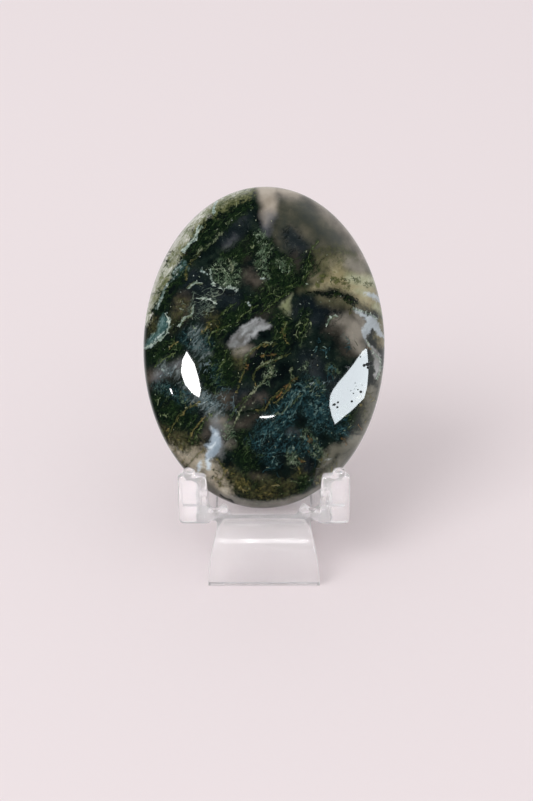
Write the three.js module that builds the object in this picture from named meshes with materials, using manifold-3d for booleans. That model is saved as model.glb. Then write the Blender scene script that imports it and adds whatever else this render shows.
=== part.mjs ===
// A polished oval palm stone of moss agate, leaning back in a small one-piece easel of clear plastic.
// Millimetres, +Z up. The front faces -Y, and the origin is the middle of the whole object's base.
import * as THREE from "three";
import { mergeVertices } from "three/addons/utils/BufferGeometryUtils.js";
import Module from "manifold-3d";

const wasm = await Module();
wasm.setup();

// The stone
const stoneWidth = 45;
const stoneLength = 60;
const stoneThickness = 18;
const edgePower = 2.2; // 2 is an ellipsoid; more gives flatter faces and a fuller edge
const stoneLean = THREE.MathUtils.degToRad(32); // back from upright
const stoneRoll = THREE.MathUtils.degToRad(1.2); // clockwise, seen from the front
const stoneMiddle = new THREE.Vector3(0, 15.25, 37.2); // from the point of the floor under the seat's front
const profileSteps = 34;
const stoneSides = 84;

// The easel's arch, a bent sheet that is the front foot, the seat and the rear foot
const sheet = 2;
const seatHeight = 11;
const footFront = -9; // outer face of the front foot, along Y
const footRear = 24;
const seatFront = -2.5;
const seatRear = 14;
const footUpright = 1.5; // straight height of each foot below its bend
const seatHalfWidth = 7.3;
const footHalfWidth = 10.4;
const flareWidth = 9.9; // control point of the feet's side curve
const flareHeight = 9.4;

// The upright ears in front of the stone, with the arms that carry them
const earFront = -2.5;
const earDepth = 1.6;
const earInnerTop = 10.6;
const earInnerFoot = 10.3;
const earOuter = 15.9;
const earTop = 20.2;
const earBase = 9.4;
const earCorner = 1.1;
const kerbHeight = 11.4; // low ridge along the seat's front
const armDip = 12.4; // lowest point of the arm's hollow top
const armCorner = 13.3;
const armRoot = 8.7;
const pocket = { left: 11.7, right: 15.1, base: 13.4, top: 19.1, inner: 1.6, outer: 0.6, depth: 0.9 };
const post = { x: 13.8, y: -1.65, radius: 1.15, base: 19.9, top: 21, sides: 28 };

// The wings and ribs behind the ears, which the stone's edge lies in
const wing = { halfWidth: 12.4, front: -1.4, rear: 8, corner: 2.2, thickness: 1.6 };
const rib = { inner: 10.7, outer: 12, front: -2, top: 17.6, low: 13.5, lowY: 3.6, rear: 8, rearTop: 11.4 };

// The back rest
const restLean = THREE.MathUtils.degToRad(38);
const restReach = 0.5; // of the flat face, from the plane that touches an ellipsoid as thick
const restBaseHalfWidth = 6.6;
const restTopHalfWidth = 5.2;
const restTop = 29.5; // height over the floor
const restCorner = 2.6;

const edgeRound = { bevelThickness: 0.3, bevelSize: 0.3, bevelOffset: -0.3, bevelSegments: 2 };
const alongX = new THREE.Matrix4().makeBasis(axis(0, 1, 0), axis(0, 0, 1), axis(1, 0, 0));
const alongY = new THREE.Matrix4().makeBasis(axis(1, 0, 0), axis(0, 0, 1), axis(0, -1, 0));

function axis(x, y, z) {
  return new THREE.Vector3(x, y, z);
}

// A closed geometry as a solid that can be joined and cut
function solidOf(geometry) {
  const bare = geometry.clone();
  bare.deleteAttribute("normal");
  bare.deleteAttribute("uv");
  const merged = mergeVertices(bare, 1e-4);
  const triVerts = [];
  for (let i = 0; i < merged.index.count; i += 3) {
    const [a, b, c] = [merged.index.getX(i), merged.index.getX(i + 1), merged.index.getX(i + 2)];
    if (a !== b && b !== c && c !== a) triVerts.push(a, b, c);
  }
  const vertProperties = merged.attributes.position.array;
  return new wasm.Manifold(
    new wasm.Mesh({ numProp: 3, vertProperties, triVerts: new Uint32Array(triVerts) }),
  );
}

function geometryOf(solid) {
  const { vertProperties, triVerts } = solid.getMesh();
  const geometry = new THREE.BufferGeometry();
  geometry.setAttribute("position", new THREE.BufferAttribute(vertProperties, 3));
  geometry.setIndex(new THREE.BufferAttribute(triVerts, 1));
  geometry.computeVertexNormals();
  return geometry;
}

// A drawn outline pushed out by depth along its own normal, with softened edges where asked
function plate(shape, depth, soft, curveSegments = 10) {
  const bevel = soft ? { bevelEnabled: true, ...edgeRound } : { bevelEnabled: false };
  const inset = soft ? edgeRound.bevelThickness : 0;
  const geometry = new THREE.ExtrudeGeometry(shape, { depth: depth - 2 * inset, curveSegments, ...bevel });
  return geometry.translate(0, 0, inset);
}

// Lens section of the stone turned about its thickness, then drawn out to the oval
function stoneGeometry() {
  const profile = [];
  for (let i = 0; i <= profileSteps; i++) {
    const turn = Math.PI * (i / profileSteps - 0.5);
    const radius = Math.max(0, Math.cos(turn)) ** (2 / edgePower);
    profile.push(new THREE.Vector2(i % profileSteps ? radius : 0, (stoneThickness / 2) * Math.sin(turn)));
  }
  const geometry = new THREE.LatheGeometry(profile, stoneSides);
  geometry.rotateX(Math.PI / 2);
  return geometry.scale(stoneWidth / 2, stoneLength / 2, 1);
}

// The bent sheet seen from the side
function archShape() {
  const outerRise = seatHeight - footUpright;
  const innerRise = outerRise - sheet;
  const frontRun = seatFront - footFront;
  const rearRun = footRear - seatRear;
  const shape = new THREE.Shape();
  shape.moveTo(footFront, 0);
  shape.lineTo(footFront + sheet, 0);
  shape.lineTo(footFront + sheet, footUpright);
  shape.absellipse(seatFront, footUpright, frontRun - sheet, innerRise, Math.PI, Math.PI / 2, true);
  shape.lineTo(seatRear, seatHeight - sheet);
  shape.absellipse(seatRear, footUpright, rearRun - sheet, innerRise, Math.PI / 2, 0, true);
  shape.lineTo(footRear - sheet, 0);
  shape.lineTo(footRear, 0);
  shape.lineTo(footRear, footUpright);
  shape.absellipse(seatRear, footUpright, rearRun, outerRise, 0, Math.PI / 2, false);
  shape.lineTo(seatFront, seatHeight);
  shape.absellipse(seatFront, footUpright, frontRun, outerRise, Math.PI / 2, Math.PI, false);
  return shape;
}

// The feet seen from the front: narrow at the seat, with sides that bow out to the floor
function flareShape() {
  const shape = new THREE.Shape();
  const above = seatHeight + 1;
  shape.moveTo(-footHalfWidth, -1);
  shape.lineTo(footHalfWidth, -1);
  shape.lineTo(footHalfWidth, 0);
  shape.quadraticCurveTo(flareWidth, flareHeight, seatHalfWidth, seatHeight);
  shape.lineTo(seatHalfWidth, above);
  shape.lineTo(-seatHalfWidth, above);
  shape.lineTo(-seatHalfWidth, seatHeight);
  shape.quadraticCurveTo(-flareWidth, flareHeight, -footHalfWidth, 0);
  return shape;
}

function archSolid() {
  const sideways = plate(archShape(), 2 * footHalfWidth, false, 14).translate(0, 0, -footHalfWidth);
  const frontways = plate(flareShape(), footRear - footFront + 2, false, 14).translate(0, 0, -footRear - 1);
  return solidOf(sideways.applyMatrix4(alongX)).intersect(solidOf(frontways.applyMatrix4(alongY)));
}

// One arm and ear seen from the front, from the middle of the seat outwards
function earShape() {
  const shape = new THREE.Shape();
  shape.moveTo(-0.5, seatHeight - sheet + 0.7);
  shape.lineTo(seatHalfWidth - 0.6, seatHeight - sheet + 0.6);
  shape.quadraticCurveTo(armRoot, seatHeight + 0.9, armRoot + 1.6, earBase);
  shape.lineTo(earOuter - earCorner, earBase);
  shape.quadraticCurveTo(earOuter, earBase, earOuter, earBase + earCorner);
  shape.lineTo(earOuter, earTop - earCorner);
  shape.quadraticCurveTo(earOuter, earTop, earOuter - earCorner, earTop);
  shape.lineTo(earInnerTop + earCorner, earTop);
  shape.quadraticCurveTo(earInnerTop, earTop, earInnerTop, earTop - earCorner);
  shape.lineTo(earInnerFoot, armDip + 2);
  shape.quadraticCurveTo(earInnerFoot - 0.1, armDip, earInnerFoot - 1.2, armDip);
  shape.quadraticCurveTo(seatHalfWidth + 1.2, armDip, seatHalfWidth + 0.5, armCorner - 0.2);
  shape.quadraticCurveTo(seatHalfWidth, armCorner + 0.3, seatHalfWidth - 0.5, armCorner - 0.5);
  shape.quadraticCurveTo(seatHalfWidth - 0.8, kerbHeight, seatHalfWidth - 1.9, kerbHeight);
  shape.lineTo(-0.5, kerbHeight + 0.02);
  return shape;
}

function pocketShape() {
  const { left, right, base, top, inner, outer } = pocket;
  const shape = new THREE.Shape();
  shape.moveTo(left, base);
  shape.lineTo(right, base);
  shape.lineTo(right, top - outer);
  shape.quadraticCurveTo(right, top, right - outer, top);
  shape.lineTo(left + inner, top);
  shape.quadraticCurveTo(left, top, left, top - inner);
  return shape;
}

// The right ear with its shallow front pocket and the round post in its top
function earSolid() {
  const face = solidOf(plate(earShape(), earDepth, true).applyMatrix4(alongY)).translate([0, earFront + earDepth, 0]);
  const hollow = solidOf(plate(pocketShape(), 2, false).applyMatrix4(alongY)).translate([
    0, earFront + pocket.depth, 0,
  ]);
  const height = post.top - post.base;
  const pin = new THREE.CylinderGeometry(post.radius, post.radius, height, post.sides);
  pin.rotateX(Math.PI / 2);
  pin.translate(post.x, post.y, post.base + height / 2);
  return face.subtract(hollow).add(solidOf(pin));
}

// Flat wing at seat height, from above
function wingShape() {
  const { halfWidth, front, rear, corner } = wing;
  const shape = new THREE.Shape();
  shape.moveTo(0, front);
  shape.lineTo(halfWidth, front);
  shape.lineTo(halfWidth, rear - corner);
  shape.quadraticCurveTo(halfWidth, rear, halfWidth - corner, rear);
  shape.lineTo(0, rear);
  return shape;
}

// Rib under the stone's edge, from the side: high behind the ear, low under the stone
function ribShape() {
  const shape = new THREE.Shape();
  shape.moveTo(rib.front, earBase);
  shape.lineTo(rib.rear - 0.6, earBase);
  shape.lineTo(rib.rear, rib.rearTop);
  shape.quadraticCurveTo(rib.lowY + 1.6, rib.low - 0.2, rib.lowY, rib.low);
  shape.quadraticCurveTo(earFront + earDepth + 0.2, rib.low + 0.4, earFront + earDepth - 0.1, rib.top);
  shape.lineTo(rib.front, rib.top);
  return shape;
}

function cradleSolid() {
  const flat = plate(wingShape(), wing.thickness, false).translate(0, 0, earBase);
  const upright = plate(ribShape(), rib.outer - rib.inner, true).applyMatrix4(alongX);
  return solidOf(flat).add(solidOf(upright.translate(rib.inner, 0, 0)));
}

// Distance from the stone's middle to a plane that touches its back, for a plane leaning by lean
function stoneReach(lean) {
  const off = stoneLean - lean;
  return Math.hypot((stoneLength / 2) * Math.sin(off), (stoneThickness / 2) * Math.cos(off));
}

function restShape(length) {
  const shape = new THREE.Shape();
  shape.moveTo(-restBaseHalfWidth, 0);
  shape.lineTo(restBaseHalfWidth, 0);
  shape.lineTo(restTopHalfWidth, length - restCorner);
  shape.quadraticCurveTo(restTopHalfWidth, length, restTopHalfWidth - restCorner, length);
  shape.lineTo(-restTopHalfWidth + restCorner, length);
  shape.quadraticCurveTo(-restTopHalfWidth, length, -restTopHalfWidth, length - restCorner);
  return shape;
}

// The rest leans a little more than the stone and stands in the seat
function restSolid() {
  const face = stoneReach(restLean) + restReach;
  const base = seatHeight - sheet / 2;
  const startY =
    (face + stoneMiddle.y * Math.cos(restLean) - (stoneMiddle.z - base) * Math.sin(restLean)) / Math.cos(restLean);
  const length = (restTop - base) / Math.cos(restLean);
  const geometry = plate(restShape(length), sheet, true);
  geometry.translate(0, 0, -sheet);
  geometry.rotateX(Math.PI / 2 - restLean);
  return solidOf(geometry.translate(0, startY, base));
}

function easelGeometry() {
  const right = earSolid().add(cradleSolid());
  const left = right.mirror([1, 0, 0]);
  return geometryOf(archSolid().add(right).add(left).add(restSolid()));
}

const stoneFinish = new THREE.MeshStandardMaterial({ color: 0x26332b, roughness: 0.12, metalness: 0 });
const easelFinish = new THREE.MeshStandardMaterial({
  color: 0xf1ecee, roughness: 0.08, metalness: 0, transparent: true, opacity: 0.35,
});

const stone = new THREE.Mesh(geometryOf(solidOf(stoneGeometry())), stoneFinish);
stone.name = "palm_stone";
stone.position.copy(stoneMiddle);
stone.rotation.set(Math.PI / 2 - stoneLean, 0, -stoneRoll);

const easel = new THREE.Mesh(easelGeometry(), easelFinish);
easel.name = "clear_easel";

const object = new THREE.Group();
object.add(stone, easel);
const bounds = new THREE.Box3().setFromObject(object, true);
object.position.y = -(bounds.min.y + bounds.max.y) / 2;

export default object;
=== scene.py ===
import math

import bpy
import numpy as np
from mathutils import Matrix, Vector


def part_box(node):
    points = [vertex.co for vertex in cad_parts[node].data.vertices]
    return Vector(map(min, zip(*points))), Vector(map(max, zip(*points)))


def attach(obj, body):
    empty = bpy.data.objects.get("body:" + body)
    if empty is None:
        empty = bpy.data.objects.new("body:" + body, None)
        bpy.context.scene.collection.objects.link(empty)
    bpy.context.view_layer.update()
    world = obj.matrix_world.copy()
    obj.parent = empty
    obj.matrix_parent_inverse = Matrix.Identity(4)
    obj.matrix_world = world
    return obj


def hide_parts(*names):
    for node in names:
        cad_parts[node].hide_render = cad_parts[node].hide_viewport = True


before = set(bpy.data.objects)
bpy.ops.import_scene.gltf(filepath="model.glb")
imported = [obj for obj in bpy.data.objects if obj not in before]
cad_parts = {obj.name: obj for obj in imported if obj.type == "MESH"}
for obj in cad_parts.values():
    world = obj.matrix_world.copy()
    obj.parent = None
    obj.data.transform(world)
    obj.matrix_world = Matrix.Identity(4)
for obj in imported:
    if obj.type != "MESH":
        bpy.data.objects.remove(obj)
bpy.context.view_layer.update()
mm = 0.001


def tone(red, green, blue):
    # a screen colour, 0 to 255, as the linear colour that shaders take
    linear = [((c / 255 + 0.055) / 1.055) ** 2.4 if c > 10 else c / 255 / 12.92
              for c in (red, green, blue)]
    return (*linear, 1)


def addNode(tree, kind, **settings):
    node = tree.nodes.new(kind)
    row, column = divmod(len(tree.nodes), 24)
    node.location = (220 * column, -340 * row)  # in rows, in the order that they are made
    for name, value in settings.items():
        setattr(node, name, value)
    return node


def feed(tree, source, target):
    # source is a socket or a plain number or colour
    if isinstance(source, bpy.types.NodeSocket):
        tree.links.new(source, target)
    else:
        target.default_value = source


def calc(tree, kind, a, b=0.0, c=0.0):
    node = addNode(tree, "ShaderNodeMath", operation=kind)
    for value, socket in zip((a, b, c), node.inputs):
        feed(tree, value, socket)
    return node.outputs[0]


def blendColour(tree, share, a, b):
    node = addNode(tree, "ShaderNodeMix", data_type="RGBA")
    for value, socket in ((share, 0), (a, 6), (b, 7)):  # 6 and 7 are the node's two colours
        feed(tree, value, node.inputs[socket])
    return node.outputs[2]


def stepUp(tree, value, low, high):
    # 0 below low, 1 above high, smooth between
    node = addNode(tree, "ShaderNodeMapRange", interpolation_type="SMOOTHSTEP")
    for name, source in (("Value", value), ("From Min", low), ("From Max", high)):
        feed(tree, source, node.inputs[name])
    return node.outputs["Result"]


def ramp(tree, value, tones):
    node = addNode(tree, "ShaderNodeValToRGB")
    steps = node.color_ramp.elements
    for i, (position, colour) in enumerate(tones.items()):
        step = steps[i] if i < 2 else steps.new(position)
        step.position = position
        step.color = tone(*colour)
    feed(tree, value, node.inputs["Fac"])
    return node.outputs["Color"]


def noise(tree, vector, scale, detail, roughness, distortion=0.0):
    node = addNode(tree, "ShaderNodeTexNoise")
    for name, value in (("Vector", vector), ("Scale", scale), ("Detail", detail),
                        ("Roughness", roughness), ("Distortion", distortion)):
        feed(tree, value, node.inputs[name])
    return node.outputs["Fac"], node.outputs["Color"]


def stretched(tree, vector, size):
    node = addNode(tree, "ShaderNodeVectorMath", operation="MULTIPLY")
    feed(tree, vector, node.inputs[0])
    node.inputs[1].default_value = size
    return node.outputs[0]


def newMaterial(name):
    material = bpy.data.materials.new(name)
    material.use_nodes = True
    return material, material.node_tree, material.node_tree.nodes["Principled BSDF"]


def meshObject(name, verts, faces):
    mesh = bpy.data.meshes.new(name)
    mesh.from_pydata([tuple(v) for v in verts], [], faces)
    mesh.update()
    mesh.shade_smooth()
    piece = bpy.data.objects.new(name, mesh)
    bpy.context.scene.collection.objects.link(piece)
    return piece


# The stone. Its own axes are x across the face, y up the face and z out of it, in millimetres.
stonePlan = {
    "width": 45, "length": 60, "thickness": 18,
    "edgePower": 2.2,  # 2 is an ellipsoid, more is a fuller edge
    "lean": 32, "roll": 1.2,  # degrees
    "cells": 276,  # squares along a side of the front's grid, the back has half as many
    "profileSteps": 4000,  # how finely the profile is measured, to space the squares along it
    "viewDistance": 376,  # millimetres to the eye that the markings are drawn for
    "backTurn": 0.075, "backShift": (0.5, -0.6),  # how they turn and move with depth behind the rim
}

stoneLean = math.radians(stonePlan["lean"])
stoneRoll = math.radians(-stonePlan["roll"])
stoneMiddle = sum(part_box("palm_stone"), Vector()) / 2
stoneTurn = Matrix.Rotation(math.pi / 2 - stoneLean, 4, "X") @ Matrix.Rotation(stoneRoll, 4, "Z")
stonePlace = Matrix.Translation(stoneMiddle) @ stoneTurn


def discGrid(cells):
    # a square grid bent into a disc, as x and y of each point
    t = np.linspace(-1, 1, cells + 1)
    a, b = np.meshgrid(t, t, indexing="ij")
    wide = np.abs(a) >= np.abs(b)
    out, small = np.where(wide, a, b), np.where(wide, b, a)
    turn = math.pi / 4 * small / np.where(out == 0, 1, out)
    turn = np.where(wide, turn, math.pi / 2 - turn)
    return out * np.cos(turn), out * np.sin(turn)


def domePoints(plan, cells, side):
    # even steps along the profile from the middle of the face to the rim
    half = np.array([plan["width"], plan["length"], plan["thickness"]]) / 2
    turn = np.linspace(math.pi / 2, 0, plan["profileSteps"])
    radius, rise = np.cos(turn) ** (2 / plan["edgePower"]), np.sin(turn)
    radius[0] = 0
    run = np.hypot(np.diff(radius) * half[:2].mean(), np.diff(rise) * half[2])
    travel = np.concatenate([[0], np.cumsum(run)]) / run.sum()
    x, y = discGrid(cells)
    reach = np.minimum(np.hypot(x, y), 1)
    stretch = np.interp(reach, travel, radius) / np.where(reach == 0, 1, reach)
    up = side * np.interp(reach, travel, rise)
    return np.stack([x * stretch, y * stretch, up], axis=-1) * half


def makeStone(plan):
    fine, coarse = plan["cells"], plan["cells"] // 2
    front, back = domePoints(plan, fine, 1), domePoints(plan, coarse, -1)
    frontIndex = np.arange((fine + 1) ** 2).reshape(fine + 1, fine + 1)
    backIndex = frontIndex[::2, ::2].copy()  # the rim is shared
    backIndex[1:-1, 1:-1] = frontIndex.size + np.arange((coarse - 1) ** 2).reshape(coarse - 1, -1)
    points = np.vstack([front.reshape(-1, 3), back[1:-1, 1:-1].reshape(-1, 3)])
    corners = [frontIndex[:-1, :-1], frontIndex[1:, :-1], frontIndex[1:, 1:], frontIndex[:-1, 1:]]
    faces = np.stack(corners, axis=-1).reshape(-1, 4).tolist()
    for i in range(coarse):
        for j in range(coarse):  # the back's squares take in the rim's points between their corners
            face = [backIndex[i, j]]
            if j == 0:
                face.append(frontIndex[2 * i + 1, 0])
            face.append(backIndex[i + 1, j])
            if i == coarse - 1:
                face.append(frontIndex[fine, 2 * j + 1])
            face.append(backIndex[i + 1, j + 1])
            if j == coarse - 1:
                face.append(frontIndex[2 * i + 1, fine])
            face.append(backIndex[i, j + 1])
            if i == 0:
                face.append(frontIndex[0, 2 * j + 1])
            faces.append([int(k) for k in face[::-1]])
    turn, place = np.array(stonePlace.to_3x3()), np.array(stonePlace.translation)
    return meshObject("MossAgate", points * mm @ turn.T + place, faces), points


stone, stonePoints = makeStone(stonePlan)
print("stone mesh:", len(stonePoints), "points", len(stone.data.polygons), "faces")

# What is seen in the stone, from the bottom layer up, in millimetres right and up from its middle
# as it is seen from straight in front. A form is its half width at each end and the points of its
# line, and a patch is a closed outline. grain is the noise that the tones are laid along, and by
# the one that makes the edge ragged by so many millimetres. soft is the edge's width, and strength
# the most that a layer covers.
growth = {
    "smoke": {
        "forms": [
            (4.0, 3.4, (5.8, 24.8), (9.0, 22.0), (12.0, 19.4), (14.2, 17.4)),
            (1.5, 1.5, (3.4, 23.0), (4.4, 19.6)),
        ],
        "grain": "cloud", "tones": {0.34: (52, 56, 54), 0.5: (68, 67, 59), 0.66: (92, 86, 75)},
        "ragged": 0.8, "by": "cloud", "soft": 3.4, "strength": 0.96,
    },
    # smokeRimLight: the smoky stone along the upper right rim, painted paler as light showing
    # through the thin edge
    "smokeRimLight": {
        "forms": [
            (0.8, 1.7, (3.6, 30.0), (8.6, 28.5), (13.5, 25.0), (17.6, 19.8), (20.2, 14.8),
             (21.4, 11.0)),
        ],
        "grain": "cloud", "tones": {0.34: (132, 119, 111), 0.66: (162, 148, 141)},
        "ragged": 0.5, "by": "cloud", "soft": 3.8, "strength": 0.94,
    },
    "slate": {
        "forms": [
            (2.4, 2.0, (-9.8, 10.0), (-6.0, 8.8)),
            (2.2, 2.0, (-13.5, 12.2), (-10.5, 6.2)),
            (2.6, 2.6, (8.2, 6.6), (12.2, 6.2)),
            (2.4, 3.0, (8.5, -3.0), (11.4, -7.4)),
            (1.7, 2.2, (5.0, 20.6), (6.8, 17.4)),
            (1.2, 1.5, (-3.4, 24.0), (-7.0, 19.6)),
            (1.5, 1.4, (7.2, -22.2), (9.0, -23.4)),
            (1.4, 1.4, (-4.6, -9.0), (-1.6, -9.6)),
            (1.3, 1.3, (-12.4, -14.4), (-11.2, -17.2)),
        ],
        "grain": "cloud", "tones": {0.36: (16, 23, 28), 0.5: (26, 33, 37), 0.64: (44, 47, 51)},
        "ragged": 0.7, "by": "crumb", "soft": 2.6, "strength": 0.92,
    },
    "brownHaze": {
        "forms": [
            (1.0, 1.2, (-3.6, 13.2), (-0.6, 11.6), (0.8, 10.4)),
            (0.8, 0.7, (-2.8, -24.2), (-0.4, -25.2)),
            (1.0, 0.9, (-0.6, 6.0), (0.9, 7.2)),
            (1.9, 1.7, (13.4, 3.6), (16.2, 3.0), (15.8, -0.4)),
            (1.1, 1.1, (12.4, 8.2), (16.4, 6.9)),
            (0.9, 0.8, (-3.6, -10.6), (-0.8, -9.6)),
            (1.0, 0.8, (-4.4, -14.6), (-1.8, -13.2)),
            (1.9, 1.5, (-20.4, -5.9), (-16.8, -4.0)),
            (0.9, 0.9, (-3.0, 18.6), (-3.4, 17.0)),
            (1.2, 1.2, (5.6, 16.4), (6.6, 14.4)),
            (1.2, 1.4, (-14.4, 9.2), (-15.6, 6.2)),
            (1.0, 1.0, (-12.0, -18.6), (-10.8, -16.0)),
            (1.2, 1.2, (-8.2, -8.6), (-6.6, -10.6)),
            (1.0, 1.4, (-19.6, -14.8), (-17.2, -17.4), (-14.2, -18.6)),
        ],
        "grain": "cloud", "tones": {0.36: (44, 41, 37), 0.5: (64, 57, 52), 0.64: (88, 79, 73)},
        "ragged": 0.9, "by": "crumb", "soft": 2.8, "strength": 0.82,
    },
    "olive": {
        "forms": [
            (1.7, 2.2, (-6.2, -24.4), (-2.0, -26.4), (4.0, -26.8)),
            (1.4, 1.4, (11.8, -21.6), (10.2, -25.6)),
            (1.0, 1.0, (6.6, -24.0), (9.0, -25.6)),
            (1.8, 1.9, (-18.6, -15.8), (-15.0, -17.8), (-13.4, -18.8)),
            (1.2, 1.1, (18.4, -9.0), (19.2, -12.4)),
            (1.6, 1.4, (-5.6, -1.4), (-4.4, -3.2)),
            (1.5, 1.6, (9.6, 15.8), (14.2, 16.2)),
            (1.1, 1.1, (-15.2, 8.0), (-16.8, 4.2)),
            (1.3, 1.0, (-9.8, 5.2), (-8.4, 3.0)),
            (0.9, 0.9, (-21.0, 5.0), (-20.6, 2.6)),
        ],
        "grain": "crumb",
        "tones": {0.34: (24, 27, 18), 0.5: (58, 55, 37), 0.62: (88, 80, 54), 0.72: (134, 120, 86)},
        "ragged": 1.4, "by": "moss", "soft": 2.4, "strength": 0.85,
    },
    "greenDeep": {
        "forms": [
            (0.9, 1.7, (-2.4, 26.5), (-5.8, 24.9)),
            (1.7, 2.3, (-5.8, 24.9), (-9.2, 22.7), (-12.0, 20.6)),
            (1.2, 1.3, (-12.6, 19.2), (-14.4, 16.0), (-16.4, 12.9), (-18.0, 10.4), (-19.4, 7.4)),
            (2.0, 1.9, (-6.0, 17.0), (-2.0, 19.0), (0.2, 17.4)),
            (2.3, 2.4, (2.4, 15.6), (4.4, 13.2), (1.2, 10.4)),
            (1.6, 1.3, (8.8, 15.8), (6.8, 12.6), (3.4, 10.8), (0.4, 9.2)),
            (1.7, 1.3, (0.8, 8.4), (-3.4, 7.0), (-6.8, 4.4), (-9.6, 1.6)),
            (1.6, 1.6, (3.2, 5.0), (3.8, 0.6)),
            (1.1, 1.1, (7.4, 5.8), (6.8, 2.2)),
            (2.3, 2.1, (-19.0, -10.4), (-16.4, -13.6)),
            (2.3, 2.2, (-4.2, -17.8), (-3.0, -21.2)),
            (0.9, 0.9, (7.4, -25.2), (7.6, -26.6)),
            (0.5, 0.6, (-3.4, -24.2), (-1.2, -26.2)),
            (0.4, 0.5, (2.2, -25.0), (3.6, -27.4)),
            (1.6, 1.5, (15.6, -12.6), (16.6, -14.6)),
            (1.9, 1.9, (-8.4, -1.4), (-6.4, -5.8)),
            (1.3, 1.5, (-10.4, -2.2), (-9.4, -7.6)),
            (1.5, 1.6, (-15.4, -11.6), (-12.8, -14.8)),
            (1.9, 1.7, (-20.0, -1.6), (-17.0, -0.6)),
        ],
        "grain": "moss",
        "tones": {0.36: (3, 10, 8), 0.5: (11, 24, 13), 0.62: (23, 38, 20), 0.7: (42, 56, 32)},
        "ragged": 1.1, "by": "crumb", "soft": 1.9, "strength": 0.92,
    },
    "tealDeep": {
        "forms": [
            (2.0, 2.5, (6.0, -9.4), (3.6, -13.0), (0.4, -16.2)),
            (2.2, 2.6, (8.8, -7.4), (10.2, -13.6)),
            (1.9, 1.9, (12.6, -14.6), (14.8, -15.6)),
            (2.2, 2.0, (3.0, -17.8), (8.8, -18.8)),
            (1.6, 1.5, (-14.2, 1.6), (-10.8, 0.2)),
            (0.4, 0.4, (15.4, 1.8), (16.0, 0.2)),
            (1.7, 1.6, (-1.4, -17.6), (1.6, -21.0)),
            (0.7, 0.8, (9.2, -25.2), (9.4, -26.8)),
            (1.2, 1.2, (-19.6, -7.2), (-17.4, -8.6)),
            (0.9, 1.0, (-15.8, -9.4), (-13.8, -11.2)),
            (0.8, 0.8, (-9.2, -4.0), (-8.0, -7.6)),
        ],
        "grain": "moss", "tones": {0.34: (5, 14, 14), 0.5: (15, 30, 32), 0.64: (33, 54, 54)},
        "ragged": 1.1, "by": "crumb", "soft": 1.9, "strength": 0.92,
    },
    "ink": {
        "forms": [
            (1.8, 1.9, (-1.4, -4.0), (0.8, -6.0)),
            (1.2, 1.2, (-1.8, -2.4), (1.4, -1.4)),
            (0.7, 0.9, (4.2, -3.6), (3.2, -5.4)),
            (0.6, 0.7, (5.6, 2.4), (5.2, -0.4)),
            (0.5, 0.6, (1.2, 3.6), (0.4, 1.8)),
            (0.7, 0.9, (-7.2, 1.0), (-4.0, 5.4), (-0.6, 7.2)),
            (0.8, 0.7, (-20.4, -13.2), (-17.2, -9.6)),
            (0.6, 0.7, (5.8, -12.2), (6.8, -14.4)),
            (0.8, 0.8, (0.0, -17.6), (3.6, -18.2)),
            (0.9, 0.6, (3.2, -21.6), (4.4, -19.0)),
            (0.6, 0.6, (-12.2, 17.6), (-14.6, 17.2)),
            (0.7, 0.6, (-16.0, 12.2), (-17.8, 9.2)),
            (0.8, 0.8, (3.2, 12.4), (5.4, 13.4)),
            (0.5, 0.5, (-8.8, 10.4), (-6.2, 9.9)),
            (0.9, 0.8, (-15.4, 4.6), (-16.6, 3.4)),
            (0.8, 0.9, (-1.8, -1.6), (0.8, -0.6)),
            (0.5, 0.5, (8.2, -20.2), (8.8, -21.8)),
            (0.8, 0.5, (-6.8, 24.0), (-9.4, 21.4)),
        ],
        "grain": "cloud", "tones": {0.4: (3, 8, 10), 0.64: (11, 17, 19)},
        "ragged": 1.0, "by": "crumb", "soft": 1.5, "strength": 0.92,
    },
    "lichen": {
        "forms": [
            (0.9, 1.0, (-0.9, 21.0), (0.4, 18.4), (-0.6, 15.6), (0.2, 13.6)),
            (0.6, 0.6, (2.6, 16.2), (5.0, 14.4)),
            (0.9, 0.9, (5.2, -20.2), (6.0, -21.6)),
            (0.9, 0.8, (7.8, -16.6), (9.2, -17.8)),
            (0.8, 0.8, (9.4, -19.0), (10.6, -20.4)),
            (0.5, 0.5, (7.7, -3.4), (8.2, -4.2)),
            (0.5, 0.5, (-6.8, -15.0), (-6.3, -16.6)),
            (0.5, 0.4, (1.4, -4.6), (0.6, -5.6)),
            (0.6, 0.6, (12.4, -3.8), (13.4, -4.8)),
            (0.7, 0.7, (9.2, -6.6), (10.4, -8.0)),
            (0.5, 0.5, (-15.6, -8.8), (-14.8, -9.6)),
        ],
        "patches": [
            [(-9.9, 14.6), (-8.0, 16.4), (-5.2, 16.0), (-4.0, 13.6), (-4.8, 11.2), (-7.0, 11.2),
             (-9.0, 11.6)],
        ],
        "grain": "crumb", "tones": {0.36: (5, 13, 11), 0.5: (22, 33, 23), 0.64: (56, 66, 48)},
        "ragged": 1.0, "by": "crumb", "soft": 1.2, "strength": 0.7,
    },
    "ochreHaze": {
        "forms": [
            (1.3, 1.5, (11.4, 15.8), (14.8, 15.4), (18.4, 14.0)),
            (1.0, 0.9, (9.2, 12.8), (11.0, 14.4)),
            (0.2, 0.6, (7.0, 10.4), (9.6, 11.2)),
            (0.5, 0.7, (10.6, 8.9), (14.0, 8.4), (17.6, 7.2)),
        ],
        "grain": "cloud", "tones": {0.34: (82, 80, 60), 0.5: (104, 98, 76), 0.66: (130, 120, 100)},
        "ragged": 0.4, "by": "crumb", "soft": 3.0, "strength": 0.85,
    },
    "ochre": {
        "forms": [
            (0.6, 0.6, (21.6, 4.4), (22.1, 0.6)),
        ],
        "patches": [
            [(14.4, 15.2), (15.8, 14.3), (17.0, 13.6), (19.2, 13.9), (20.4, 13.0), (20.9, 11.5),
             (21.6, 9.3), (22.3, 7.6), (21.6, 6.4), (20.2, 7.2), (18.7, 8.1), (17.5, 8.9),
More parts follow.
